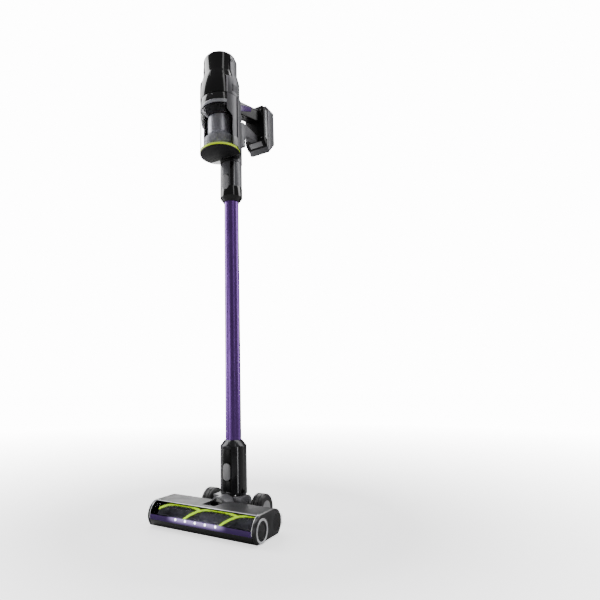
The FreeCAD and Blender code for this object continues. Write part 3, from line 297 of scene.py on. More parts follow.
MATERIALS = {
    "black_gloss": finish_material("gloss_black_shell", srgb(4, 4, 5), 0.12, 0.03, coat=0.5, dust=0.004,
                                   scuffs=0.06),
    "black_matte": finish_material("fine_black_moulding", srgb(16, 16, 17), 0.5, 0.06, grain=0.25,
                                   dust=0.006),
    "grey_matte": finish_material("satin_graphite_paint", srgb(112, 112, 116), 0.36, 0.05, metal=0.3,
                                  grain=0.06, dust=0.01),
    "graphite_dark": finish_material("dark_graphite_paint", srgb(44, 44, 46), 0.3, 0.05, metal=0.3,
                                     grain=0.06, dust=0.008),
    "grey_light": finish_material("pale_grey_button", srgb(158, 158, 160), 0.38, 0.06, grain=0.12),
    "steel": finish_material("turned_steel", srgb(190, 190, 192), 0.25, 0.05, metal=1.0, lines=0.05),
    "smoked_clear": finish_material("smoked_window", srgb(196, 196, 202), 0.02, 0.01, clear=1.0, ior=1.06,
                                    scuffs=0.02),
    "bin_clear": finish_material("clear_bin", srgb(236, 236, 240), 0.02, 0.01, clear=1.0, ior=1.08,
                                 scuffs=0.03),
    "grey_clear": finish_material("frosted_skirt", srgb(196, 196, 200), 0.35, 0.05, clear=0.25),
    "purple_plastic": finish_material("violet_band", srgb(78, 36, 118), 0.3, 0.05, coat=0.2, grain=0.05),
    "purple_metal": finish_material("anodised_violet_tube", srgb(122, 82, 164), 0.32, 0.04, metal=0.8,
                                    lines=0.06, scuffs=0.1),
    "lamp_clear": finish_material("lamp_lens", srgb(245, 245, 250), 0.2, 0.02, emission=(1, 1, 1, 1), glow=6),
    "felt": finish_material("glide_strip", srgb(60, 60, 62), 0.8, 0.05, grain=0.5, sheen=0.3),
    "motor_can": finish_material("turned_motor_can", srgb(170, 170, 172), 0.35, 0.05, metal=1.0, lines=0.1),
    "belt_rubber": finish_material("belt_rubber", srgb(28, 28, 28), 0.7, 0.06, grain=0.2),
    "green_plastic": finish_material("brush_core_moulding", srgb(44, 44, 46), 0.45, 0.06, grain=0.15),
    "bristle": finish_material("dark_bristle", srgb(120, 120, 124), 0.6, 0.06, mottle=0.3),
    "brass": finish_material("machined_brass", srgb(200, 160, 80), 0.3, 0.05, metal=1.0, lines=0.05),
    "tyre": finish_material("soft_black_tyre", srgb(14, 14, 15), 0.42, 0.06, grain=0.15, dust=0.01),
    "hose_rubber": finish_material("hose_rubber", srgb(30, 30, 31), 0.6, 0.06, grain=0.2),
    "filter_media": finish_material("pleated_filter", srgb(225, 225, 220), 0.9, 0.05, grain=0.4),
    "silver_mesh": finish_material("perforated_steel", srgb(226, 226, 229), 0.34, 0.04, metal=0.75,
                                   lines=0.04),
    # The lime seal and the lime fibre emit light of their own colour: painted glow, as these parts are no
    # lamps.
    "green_rubber": finish_material("lime_seal_painted_glow", srgb(214, 236, 40), 0.45, 0.05, grain=0.08,
                                    emission=(0.5, 0.75, 0.02, 1), glow=0.45),
    "cell_wrap": finish_material("cell_wrap", srgb(70, 110, 150), 0.4, 0.05),
    "lime": finish_material("lime_fibre_painted_glow", srgb(214, 232, 30), 0.7, 0.06, mottle=0.15,
                            emission=(0.55, 0.85, 0.03, 1), glow=1.3),
    "graphite": finish_material("gloss_graphite_barrel", srgb(50, 50, 53), 0.2, 0.04, metal=0.6, coat=0.3,
                                dust=0.006, scuffs=0.06),
    "head_paint": finish_material("fine_grey_head_paint", srgb(52, 52, 54), 0.5, 0.05, metal=0.1, grain=0.1,
                                  dust=0.01),
    "lid_black": finish_material("satin_black_lid", srgb(15, 15, 16), 0.62, 0.04, grain=0.12),
    "strip_violet": finish_material("deep_violet_strip", srgb(62, 24, 104), 0.2, 0.04, coat=0.3),
    "black_soft": finish_material("soft_black_panel", srgb(16, 16, 17), 0.34, 0.05, grain=0.08, ior=1.3),
    "smoked_band": finish_material("smoked_collar", srgb(26, 26, 28), 0.12, 0.03, coat=0.5),
    "pale_ring": finish_material("frosted_pale_ring", srgb(176, 178, 184), 0.2, 0.04, coat=0.3),
    # Near-white, nearly diffuse trim, so beads, rings, seam lines and the pin read bright under any lamp:
    # painted highlight standing in for chrome edges.
    "trim": finish_material("bright_trim_painted_highlight", srgb(236, 237, 240), 0.2, 0.03, metal=0.15),
    "trim_soft": finish_material("pale_satin_trim", srgb(206, 208, 210), 0.3, 0.04, metal=0.2),
    "floor": finish_material("studio_floor", srgb(244, 244, 245), 0.6, 0.04, mottle=0.01),
}


def light_floor():
    """The floor looks white to the eye, whiter with distance, and stays dim to everything else."""
    tree = MATERIALS["floor"].node_tree
    shader = tree.nodes["Principled BSDF"]
    place = wire(tree, "TexCoord").outputs["Object"]
    reach = wire(tree, "VectorMath", {0: place}, operation="LENGTH")
    level = wire(tree, "MapRange", {"Value": reach.outputs["Value"], "From Min": 0.35, "From Max": 2.6,
                                    "To Min": 0.35, "To Max": 3.4})
    seen = wire(tree, "LightPath").outputs["Is Camera Ray"]
    shown = wire(tree, "Math", {0: level.outputs[0], 1: seen}, operation="MULTIPLY")
    tree.links.new(shown.outputs[0], shader.inputs["Emission Color"])
    shader.inputs["Emission Strength"].default_value = FLOOR_GLOW
    dimmed = wire(tree, "MapRange", {"Value": seen, "To Min": 0.3, "To Max": 1.0})
    source = shader.inputs["Base Color"].links[0].from_socket
    tone = wire(tree, "VectorMath", {0: source, "Scale": dimmed.outputs[0]}, operation="SCALE")
    tree.links.new(tone.outputs[0], shader.inputs["Base Color"])


def paint_strip_glow():
    """Painted lamp light: a lavender glow emitted by the violet strip around the row of lamps, stronger
    towards its top.
    """
    tree = MATERIALS["strip_violet"].node_tree
    shader = tree.nodes["Principled BSDF"]
    place = wire(tree, "TexCoord").outputs["Object"]
    apart = wire(tree, "SeparateXYZ", {"Vector": place})
    shifted = wire(tree, "Math", {0: apart.outputs["X"], 1: LAMP_ROW_SHIFT}, operation="ADD")
    along = wire(tree, "Math", {0: shifted.outputs[0]}, operation="ABSOLUTE")
    fade = wire(tree, "MapRange", {"Value": along.outputs[0], "From Min": 0.046, "From Max": 0.074,
                                   "To Min": 1.0, "To Max": 0.0}, interpolation_type="SMOOTHSTEP")
    high = wire(tree, "MapRange", {"Value": apart.outputs["Z"], "From Min": 0.0175, "From Max": 0.0255,
                                   "To Min": 0.1, "To Max": 1.0}, interpolation_type="SMOOTHSTEP")
    glow = wire(tree, "Math", {0: fade.outputs[0], 1: high.outputs[0]}, operation="MULTIPLY")
    tint = wire(tree, "VectorMath", {0: (0.55, 0.42, 0.85), "Scale": glow.outputs[0]}, operation="SCALE")
    tree.links.new(tint.outputs[0], shader.inputs["Emission Color"])
    shader.inputs["Emission Strength"].default_value = STRIP_PAINTED_GLOW


light_floor()
paint_strip_glow()


# ---------------------------------------------------------------- mesh helpers

def surface_hit(node, start, way):
    """First point of a CAD node's skin that a ray meets, or None."""
    piece = NODES[node]
    corners = [piece.matrix_world @ vertex.co for vertex in piece.data.vertices]
    tree = BVHTree.FromPolygons(corners, [tuple(face.vertices) for face in piece.data.polygons])
    return tree.ray_cast(start, way)[0]


def to_object(name, mesh, material, body, node=None):
    """Link a finished mesh, give it its finish, and let it ride on a body."""
    piece = bpy.data.objects.new(name, mesh)
    bpy.context.scene.collection.objects.link(piece)
    mesh.materials.clear()
    mesh.materials.append(material)
    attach(piece, body)
    if node:
        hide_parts(*([node] if isinstance(node, str) else node))
    return piece


def bake(piece):
    """Turn a piece with live modifiers into a plain mesh."""
    graph = bpy.context.evaluated_depsgraph_get()
    graph.update()
    mesh = bpy.data.meshes.new_from_object(piece.evaluated_get(graph))
    piece.modifiers.clear()
    piece.data = mesh
    return piece


def smooth(mesh, angle=35):
    """Smooth shading with sharp edges above an angle."""
    mesh.polygons.foreach_set("use_smooth", [True] * len(mesh.polygons))
    work = bmesh.new()
    work.from_mesh(mesh)
    limit = math.radians(angle)
    for edge in work.edges:
        edge.smooth = len(edge.link_faces) == 2 and edge.calc_face_angle(0) < limit
    work.to_mesh(mesh)
    work.free()


def ended(work, mesh, angle=35):
    """Write a finished work mesh out with its normals outward and its shading smooth."""
    bmesh.ops.recalc_face_normals(work, faces=work.faces)
    work.to_mesh(mesh)
    work.free()
    smooth(mesh, angle)
    return mesh


def fixed(degrees):
    """A side angle for a panel that is the same at every height."""
    return lambda height: math.radians(degrees)


def softened(node, width, material=None, segments=2, angle=32):
    """A CAD node's shape with its hard edges rolled over, standing in for the node."""
    mesh = NODES[node].data.copy()
    work = bmesh.new()
    work.from_mesh(mesh)
    bmesh.ops.remove_doubles(work, verts=work.verts, dist=2e-6)
    bmesh.ops.dissolve_limit(work, angle_limit=math.radians(0.5), verts=work.verts, edges=work.edges)
    sharp = [edge for edge in work.edges if len(edge.link_faces) == 2
             and edge.calc_face_angle(0) > math.radians(angle)]
    bmesh.ops.bevel(work, geom=sharp, offset=width * MM, segments=segments, profile=0.5,
                    affect="EDGES", clamp_overlap=True, harden_normals=False)
    work.to_mesh(mesh)
    work.free()
    smooth(mesh, angle)
    slot = SLOT_OF[node]
    return to_object(node + "_shell", mesh, material or MATERIALS[slot], BODY_OF[node], node)


def lathe(profile, centre, axis="Z", steps=64, closed=True):
    """A mesh revolved about an axis from (radius, distance along it) points, in millimetres."""
    mesh = bpy.data.meshes.new("lathe")
    work = bmesh.new()
    rings = []
    for number in range(steps):
        turn = TAU * number / steps
        ring = []
        for radius, height in profile:
            across, up = radius * math.cos(turn) * MM, radius * math.sin(turn) * MM
            spot = {"Z": (across, up, height * MM), "X": (height * MM, across, up),
                    "Y": (up, height * MM, across)}[axis]
            ring.append(work.verts.new(Vector(centre) + Vector(spot)))
        rings.append(ring)
    count = len(profile)
    for number in range(steps):
        here, there = rings[number], rings[(number + 1) % steps]
        for step in range(count if closed else count - 1):
            after = (step + 1) % count
            work.faces.new((here[step], there[step], there[after], here[after]))
    bmesh.ops.remove_doubles(work, verts=work.verts, dist=1e-6)
    return ended(work, mesh)


def panel(centre, inner, outer, low, high, start, stop, steps=24, levels=24):
    """A curved wall about a vertical axis; start and stop give its side angles at a height."""
    mesh = bpy.data.meshes.new("panel")
    work = bmesh.new()
    grid = []
    for level in range(levels + 1):
        height = low + (high - low) * level / levels
        row = []
        for step in range(steps + 1):
            turn = start(height) + (stop(height) - start(height)) * step / steps
            row.append([work.verts.new((centre.x + radius * MM * math.sin(turn),
                                        centre.y - radius * MM * math.cos(turn), height * MM))
                        for radius in (inner, outer)])
        grid.append(row)
    for level in range(levels):
        for step in range(steps):
            lower, upper = grid[level], grid[level + 1]
            a, b, c, d = lower[step], lower[step + 1], upper[step + 1], upper[step]
            work.faces.new((a[1], b[1], c[1], d[1]))
            work.faces.new((d[0], c[0], b[0], a[0]))
    for step in range(steps):
        for row in (grid[0], grid[levels]):
            a, b = row[step], row[step + 1]
            work.faces.new((a[0], b[0], b[1], a[1]))
    for level in range(levels):
        for side in (0, steps):
            a, b = grid[level][side], grid[level + 1][side]
            work.faces.new((a[0], b[0], b[1], a[1]))
    return ended(work, mesh)


# ---------------------------------------------------------------- repeated things by Geometry Nodes

def scatter_tree(name, material, shape):
    """A tree that puts one small shape on every point of a mesh, along the point's own direction."""
    tree = bpy.data.node_groups.new(name, "GeometryNodeTree")
    tree.interface.new_socket("Geometry", in_out="INPUT", socket_type="NodeSocketGeometry")
    tree.interface.new_socket("Geometry", in_out="OUTPUT", socket_type="NodeSocketGeometry")
    for label, value in (("Radius", 0.0005), ("Length", 0.003), ("Spread", 0.1), ("Seed", 3)):
        kind = "NodeSocketInt" if label == "Seed" else "NodeSocketFloat"
        tree.interface.new_socket(label, in_out="INPUT", socket_type=kind).default_value = value
    start = tree.nodes.new("NodeGroupInput")
    end = tree.nodes.new("NodeGroupOutput")

    def add(kind, links=(), **settings):
        node = tree.nodes.new("GeometryNode" + kind if not kind.startswith("Function") else kind)
        for label, setting in settings.items():
            setattr(node, label, setting)
        for label, source in dict(links).items():
            if isinstance(source, bpy.types.NodeSocket):
                tree.links.new(source, node.inputs[label])
            else:
                node.inputs[label].default_value = source
        return node

    if shape == "hair":
        item = add("MeshCone", {"Vertices": 4, "Radius Top": 0.00008,
                                "Radius Bottom": start.outputs["Radius"],
                                "Depth": start.outputs["Length"]}).outputs["Mesh"]
    else:
        item = add("MeshCylinder", {"Vertices": 8, "Radius": start.outputs["Radius"],
                                    "Depth": start.outputs["Length"]}).outputs["Mesh"]
    facing = add("InputNamedAttribute", {"Name": "facing"}, data_type="FLOAT_VECTOR").outputs["Attribute"]
    jitter = add("FunctionNodeRandomValue", {"Seed": start.outputs["Seed"]}, data_type="FLOAT_VECTOR")
    jitter.inputs["Min"].default_value = (-1, -1, -1)
    jitter.inputs["Max"].default_value = (1, 1, 1)
    lean = tree.nodes.new("ShaderNodeVectorMath")
    lean.operation = "SCALE"
    tree.links.new(jitter.outputs["Value"], lean.inputs[0])
    tree.links.new(start.outputs["Spread"], lean.inputs["Scale"])
    aim = tree.nodes.new("ShaderNodeVectorMath")
    tree.links.new(facing, aim.inputs[0])
    tree.links.new(lean.outputs[0], aim.inputs[1])
    turn = add("FunctionNodeAlignRotationToVector", {"Vector": aim.outputs[0]}, axis="Z")
    placed = add("InstanceOnPoints", {"Points": start.outputs["Geometry"], "Instance": item,
                                      "Rotation": turn.outputs["Rotation"]})
    real = add("RealizeInstances", {"Geometry": placed.outputs["Instances"]})
    painted = add("SetMaterial", {"Geometry": real.outputs["Geometry"], "Material": material})
    tree.links.new(painted.outputs["Geometry"], end.inputs["Geometry"])
    return tree


def scatter(name, roots, material, body, slot, shape="hair", **values):
    """Small shapes on (place, direction) roots, turned into one plain mesh."""
    mesh = bpy.data.meshes.new(name)
    mesh.from_pydata([place for place, _ in roots], [], [])
    facing = mesh.attributes.new("facing", "FLOAT_VECTOR", "POINT")
    facing.data.foreach_set("vector", [part for _, way in roots for part in way])
    piece = bpy.data.objects.new(name, mesh)
    bpy.context.scene.collection.objects.link(piece)
    tree = scatter_tree(name + "_tree", material, shape)
    modifier = piece.modifiers.new("scatter", "NODES")
    modifier.node_group = tree
    for socket in tree.interface.items_tree:
        if socket.in_out == "INPUT" and socket.name in values:
            modifier[socket.identifier] = values[socket.name]
    bake(piece)
    piece.data.name = name
    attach(piece, body)
    return piece


# ---------------------------------------------------------------- camera, light and floor

def make_stage():
    """Camera, pale floor and soft studio lights."""
    camera = bpy.data.cameras.new("camera")
    camera.lens = LENS
    camera.shift_x = SHIFT_X
    holder = bpy.data.objects.new("camera", camera)
    bpy.context.scene.collection.objects.link(holder)
    yaw, pitch, roll = (math.radians(angle) for angle in CAMERA_TURNS)
    holder.matrix_world = (Matrix.Translation(Vector(CAMERA_FROM_WAND) + Vector((0, WAND_Y, 0)))
                           @ Matrix.Rotation(yaw, 4, "Z") @ Matrix.Rotation(math.pi / 2 + pitch, 4, "X")
                           @ Matrix.Rotation(roll, 4, "Z"))
    bpy.context.scene.camera = holder

    mesh = bpy.data.meshes.new("studio_floor")
    work = bmesh.new()
    bmesh.ops.create_grid(work, x_segments=8, y_segments=8, size=14)
    work.to_mesh(mesh)
    work.free()
    floor = bpy.data.objects.new("studio_floor", mesh)
    mesh.materials.append(MATERIALS["floor"])
    bpy.context.scene.collection.objects.link(floor)

    world = bpy.data.worlds.new("studio")
    world.use_nodes = True
    tree = world.node_tree
    backdrop = tree.nodes["Background"]
    ray = tree.nodes.new("ShaderNodeLightPath")
    level = tree.nodes.new("ShaderNodeMapRange")
    level.inputs["To Min"].default_value = WORLD_SEEN
    level.inputs["To Max"].default_value = WORLD_BOUNCED
    bounced = tree.nodes.new("ShaderNodeMath")
    bounced.operation = "ADD"
    tree.links.new(ray.outputs["Glossy Depth"], bounced.inputs[0])
    tree.links.new(ray.outputs["Diffuse Depth"], bounced.inputs[1])
    tree.links.new(bounced.outputs[0], level.inputs["Value"])
    tree.links.new(level.outputs[0], backdrop.inputs["Strength"])
    backdrop.inputs["Color"].default_value = (1, 1, 1, 1)
    bpy.context.scene.world = world

    aim = Vector((0, WAND_Y, 0.8))
    for name, spot, (width, tall), power in LAMPS:
        lamp = bpy.data.lights.new(name, "AREA")
        lamp.shape = "RECTANGLE"
        lamp.size = width
        lamp.size_y = tall
        lamp.energy = power
        stand = bpy.data.objects.new(name, lamp)
        stand.location = spot
        stand.rotation_euler = (aim - Vector(spot)).to_track_quat("-Z", "Y").to_euler()
        bpy.context.scene.collection.objects.link(stand)


# ---------------------------------------------------------------- pieces of the floor head

def bar(name, corners, depth, material, body, normal=(0, 0, 1), bevel=0.3):
    """A flat plate from its outline (millimetres), thickened along a normal, with rolled edges."""
    mesh = bpy.data.meshes.new(name)
    work = bmesh.new()
    face = work.faces.new([work.verts.new(Vector(corner) * MM) for corner in corners])
    lift = Vector(normal) * depth * MM
    grown = bmesh.ops.extrude_face_region(work, geom=[face])
    bmesh.ops.translate(work, vec=lift, verts=[item for item in grown["geom"]
                                               if isinstance(item, bmesh.types.BMVert)])
    bmesh.ops.recalc_face_normals(work, faces=work.faces)
    if bevel:
        bmesh.ops.bevel(work, geom=list(work.edges), offset=bevel * MM, segments=2, profile=0.5,
                        affect="EDGES", clamp_overlap=True)
    work.to_mesh(mesh)
    work.free()
    smooth(mesh)
    return to_object(name, mesh, material, body)


def make_window_end(side, tag, edge, half_turn=98, steps=16):
    """A bright bead that follows the window's end over the nose."""
    inner, outer, width = 26.6, 27.25, 1.1
    mesh = bpy.data.meshes.new("window_end")
    work = bmesh.new()
    rows = []
    for step in range(steps + 1):
        turn = math.radians(-8 + half_turn * step / steps)
        row = []
        for radius, shift in ((inner, 0), (outer, 0), (outer, -side * width), (inner, -side * width)):
            row.append(work.verts.new(((edge + shift) * MM, BRUSH.y - radius * math.cos(turn) * MM,
                                       BRUSH.z + radius * math.sin(turn) * MM)))
        rows.append(row)
    for here, there in zip(rows, rows[1:]):
        for corner in range(4):
            after = (corner + 1) % 4
            work.faces.new((here[corner], here[after], there[after], there[corner]))
    work.faces.new(rows[0])
    work.faces.new(rows[-1][::-1])
    to_object("window_end_" + tag, ended(work, mesh), MATERIALS["trim"], "head")


def make_head_trim():
    """Bright beads round the window, a black sheet that paints the scoop recess's shade and black interior,
    and the collar's dark face.
    """
    rear, top = WINDOW_HIGH.y / MM, HEAD_HIGH.z / MM
    reach = WINDOW_HIGH.x / MM
    bar("window_bead", [(-reach, rear - 1.6, top - 0.5), (reach, rear - 1.6, top - 0.5),
                        (reach, rear + 0.6, top - 0.2), (-reach, rear + 0.6, top - 0.2)], 0.9,
        MATERIALS["trim"], "head", bevel=0.35)
    for side, tag in SIDES:
        make_window_end(side, tag, side * (reach + 0.1))
    front, back = -97 + WAND_Y / MM, -59 + WAND_Y / MM
    high, fall = 50.3, 12 / 39

    def lay(y):
        return high - fall * (y - front)

    # Black sheet over the scoop recess: painted shade of the recess, together with its black interior.
    outline = [(-15, back, lay(back)), (15, back, lay(back)), (14, back - 12, lay(back - 12)),
               (4, front + 4, lay(front + 4)), (-4, front + 4, lay(front + 4)),
               (-14, back - 12, lay(back - 12))]
    bar("scoop_recess_shade", outline, 0.7, MATERIALS["black_gloss"], "head", bevel=0.2)
    face = [(16.5 * math.cos(turn), back - 3.2, 39 + 17.5 * math.sin(turn))
            for turn in (math.pi * step / 20 for step in range(21))]
    bar("collar_face", face, 0.8, MATERIALS["black_gloss"], "head", normal=(0, -1, 0),
        bevel=0.3)


def strip_angle(along, foot):
    """Angle of a lime strip on the roll: it climbs over the front, then leans back down."""
    path = [(-14, -12), (0, 18), (17, 52), (33, 86), (44, 102), (56, 111), (68, 110), (80, 103), (108, 76),
            (124, 58)]
    step = along - foot
    for (near, low), (far, high) in zip(path, path[1:]):
        if step <= far:
            return low + (high - low) * (step - near) / (far - near)
    return path[-1][1]


def make_brush():
    """Dark fibre roll with raised lime strips and fine bristles."""
    low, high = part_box("brush_bristles")
    left, right = low.x / MM, high.x / MM
    core = size("brush_core").z / 2 / MM
    centre = Vector((0, BRUSH.y, BRUSH.z))
    fuzz = [(core + 0.2, left), (core + 4.6, left + 1.5)]
    count = 44
    for step in range(1, count):
        spot = left + 1.5 + (right - left - 3) * step / count
        fuzz.append((core + 4.6 + 0.5 * math.sin(step * 2.4), spot))
    fuzz += [(core + 4.6, right - 1.5), (core + 0.2, right)]
    mesh = lathe(fuzz, centre, "X", 72)
    to_object("brush_fibre", mesh, MATERIALS["bristle"], "brush_roll", "brush_bristles")
    feet = [-119, -33, 53]
    roots, lime_rows = [], []
    for foot in feet:
        begin, finish = max(left + 2, foot - 14), min(right - 2, foot + 110)
        if finish <= begin:
            continue
        steps = int((finish - begin) / 0.9)
        for step in range(steps + 1):
            along = begin + (finish - begin) * step / steps
            angle = strip_angle(along, foot)
            for offset in (-5, -2.5, 0, 2.5, 5):
                turn = math.radians(angle + offset)
                way = Vector((0, -math.cos(turn), math.sin(turn)))
                lime_rows.append((centre + Vector((along * MM, 0, 0)) + way * (core + 5.6) * MM, way))
    for step in range(5200):
        along = left + 2 + (right - left - 4) * ((step * 0.61803) % 1)
        turn = TAU * ((step * 0.75488) % 1)
        way = Vector((0, -math.cos(turn), math.sin(turn)))
        roots.append((centre + Vector((along * MM, 0, 0)) + way * (core + 4.8) * MM, way))
    scatter("brush_bristle_tips", roots, MATERIALS["bristle"], "brush_roll", "bristle",
            Radius=0.00035, Length=0.0026, Spread=0.45, Seed=4)
    scatter("lime_bristles", lime_rows, MATERIALS["lime"], "brush_roll", "bristle",
            Radius=0.0006, Length=0.0024, Spread=0.3, Seed=7)
    ribbon = bpy.data.meshes.new("lime_ribbons")
    work = bmesh.new()
    for foot in feet:
        begin, finish = max(left + 2, foot - 14), min(right - 2, foot + 110)
        if finish <= begin:
            continue
        rows = []
        steps = 60
        for step in range(steps + 1):
            along = begin + (finish - begin) * step / steps
            row = []
            for offset, radius in ((-6, core + 4.2), (-5, core + 5.8), (0, core + 6.1), (5, core + 5.8),
                                   (6, core + 4.2)):
                turn = math.radians(strip_angle(along, foot) + offset)
                row.append(work.verts.new(centre + Vector((along * MM, -math.cos(turn) * radius * MM,
                                                           math.sin(turn) * radius * MM))))
            rows.append(row)
        for here, there in zip(rows, rows[1:]):
            for step in range(5):
                after = (step + 1) % 5
                work.faces.new((here[step], here[after], there[after], there[step]))
        work.faces.new(rows[0])
        work.faces.new(rows[-1][::-1])
    to_object("lime_ribbons", ended(work, ribbon, 60), MATERIALS["lime"], "brush_roll")


def make_head_sides():
    """Rolled housings, the end knob with its ring, and grip dots on both side covers."""
    softened("head_top_housing", 1.2, MATERIALS["head_paint"])
    NODES["front_accent_strip"].data.materials[0] = MATERIALS["strip_violet"]
    for side in ("left", "right"):
        softened(side + "_side_cover", 1.6, MATERIALS["graphite_dark"])
    softened("front_lip", 0.6, MATERIALS["black_gloss"])
    softened("swivel_collar", 0.8)
    softened("swivel_elbow", 0.9)
    low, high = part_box("brush_knob")
    middle_spot = Vector((0, BRUSH.y, BRUSH.z))
    outer = high.x / MM
    inner = low.x / MM
    profile = [(0, inner), (15.8, inner), (16.3, inner + 0.5), (16.3, outer - 0.9), (15.6, outer - 0.2),
               (14.2, outer - 0.2), (13.6, outer - 1.2), (12.9, outer - 1.2), (12.2, outer - 0.5),
               (3, outer - 0.35), (0, outer - 0.3)]
    to_object("end_knob", lathe(profile, middle_spot, "X", 72, closed=False), MATERIALS["graphite_dark"],
              "brush_knob", "brush_knob")
    grip = [(outer - 0.4, BRUSH.y / MM + along, BRUSH.z / MM + up)
            for along, up in ((-10, -1.6), (10, -1.6), (10, 1.6), (-10, 1.6))]
    bar("end_knob_grip", grip, 0.4, MATERIALS["graphite_dark"], "brush_knob",
        normal=(1, 0, 0), bevel=0.18)
    plate = surface_hit("brush_end_plate", middle_spot + Vector((0.2, 0, 0.0192)), Vector((-1, 0, 0)))
    rest = plate.x / MM if plate else outer - 1.4
    ring = [(17.2, rest - 0.2), (21.6, rest - 0.2), (21.6, rest + 0.4), (21.0, rest + 0.7),
            (20.2, rest + 0.7), (19.6, rest + 0.3), (17.2, rest + 0.2)]
    to_object("end_ring", lathe(ring, middle_spot, "X", 96), MATERIALS["trim"], "brush_cartridge")
    for side, name in SIDES:
        roots = []
        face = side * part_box("right_side_cover")[1].x / MM
        for row in range(11):
            for column in range(12):
                spot_y = -88 + 3.2 * column + (1.6 if row % 2 else 0)
                spot_z = 11 + 2.8 * row
                if (spot_y + 69) ** 2 / 20 ** 2 + (spot_z - 25) ** 2 / 16 ** 2 < 1:
                    roots.append((Vector((face, spot_y, spot_z)) * MM, (side, 0, 0)))
        scatter(name + "_grip_dots", roots, MATERIALS["black_matte"], "head", "black_gloss", "dot",
                Radius=0.00085, Length=0.0007, Spread=0.0, Seed=1)


def make_wheels():
    """Grooved tyres and dished pale hubs."""
    for side, name in SIDES:
        low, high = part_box(name + "_wheel_tyre")
        middle_spot = (low + high) / 2
        half = (high.x - low.x) / 2 / MM
        radius = (high.z - low.z) / 2 / MM
        bore = radius - 13
        quarter = [math.pi / 2 * step / 6 for step in range(7)]
        profile = [(bore, -half + 1), (bore, half - 1)]
        profile += [(radius - 5 + 5 * math.sin(turn), half - 5 + 5 * math.cos(turn)) for turn in quarter]
        for spot in (4.5, -4.5):
            profile += [(radius, spot + 0.9), (radius - 1.1, spot + 0.5), (radius - 1.1, spot - 0.5),
                        (radius, spot - 0.9)]
        profile += [(radius - 5 + 5 * math.cos(turn), -half + 5 - 5 * math.sin(turn)) for turn in quarter]
        to_object(name + "_tyre", lathe(profile, middle_spot, "X", 88), MATERIALS["tyre"], name + "_wheel",
                  name + "_wheel_tyre")
        steps = [(0, 2.2), (5, 2.2), (6, 4), (11, 4.6), (bore - 4, 2.6), (bore - 1.5, 1.2),
                 (bore + 0.4, 1.2), (bore + 0.4, 7), (4.6, 7)]
        face = [(reach, side * (half - depth)) for reach, depth in steps]
        to_object(name + "_hub_cap", lathe(face, middle_spot, "X", 72, closed=False), MATERIALS["grey_light"],
                  name + "_wheel")


# ---------------------------------------------------------------- neck and wand

def band_and_highlight_line(name, body, centre, radius, span, band, seam_highlight):
    """A dark band and a bright line, a painted highlight along the seam, on both sides of a round piece, at
    side angles in degrees.
    """
    low, high = span
    start, finish, steps = band
    for side, tag in SIDES:
        wall = panel(centre, radius - 0.3, radius + 0.2, low, high, fixed(side * start), fixed(side * finish),
                     steps, 2)
        to_object(f"{name}_band_{tag}", wall, MATERIALS["black_gloss"], body)
        line = panel(centre, radius - 0.3, radius + 0.3, low, high, fixed(side * seam_highlight[0]),
                     fixed(side * seam_highlight[1]), 3, 2)
        to_object(f"{name}_seam_{tag}", line, MATERIALS["trim"], body)


def make_neck():
    """Neck with its painted highlight lines along the seams, dark side bands, and the sprung button."""
    softened("neck_housing", 0.9, MATERIALS["graphite"])
    softened("neck_front_panel", 0.4, MATERIALS["black_soft"])
    softened("neck_release_button", 0.8)
    centre = Vector((0, WAND_Y, 0))
    radius = (WAND_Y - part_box("neck_front_panel")[0].y) / MM
    # The bright line at 49 to 51.5 degrees paints the reflection line on the glossy neck.
    band_and_highlight_line("neck", "neck", centre, radius, NECK_SPAN, (58, 84, 12), (49, 51.5))


def make_wand():
    """Anodised tube and the dressed collar at its top."""
    softened("wand_collar", 0.8)
    softened("wand_release_button", 0.8)
    low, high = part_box("wand_collar")
    centre = Vector((0, WAND_Y, 0))
    radius = (high.x - low.x) / 2 / MM
    foot, rim = low.z / MM, high.z / MM
    skirt = [(18.0, foot - 0.3), (19.3, foot - 0.3), (radius + 0.35, foot + 10.6), (radius + 0.35, foot + 34),
             (radius + 0.05, foot + 34.6), (radius - 1, foot + 34.6), (radius - 1, foot + 11),
             (18.0, foot + 1)]
    to_object("collar_skirt", lathe(skirt, centre, "Z", 96), MATERIALS["black_gloss"], "wand")
    # The bright line at 48.5 to 50.5 degrees is a painted highlight along the collar's seam.
    band_and_highlight_line("collar", "wand", centre, radius, (foot + 34, rim - 1), (27, 45, 10), (48.5, 50.5))


# ---------------------------------------------------------------- dust bin and motor unit

def seam_angle(height):
    """Angle of the clear wall's edge, which steps back down the bin's side."""
    if height > 924:
        return math.radians(54)
    if height > 911:
        return math.radians(54 + 16 * (924 - height) / 13)
    return math.radians(72)


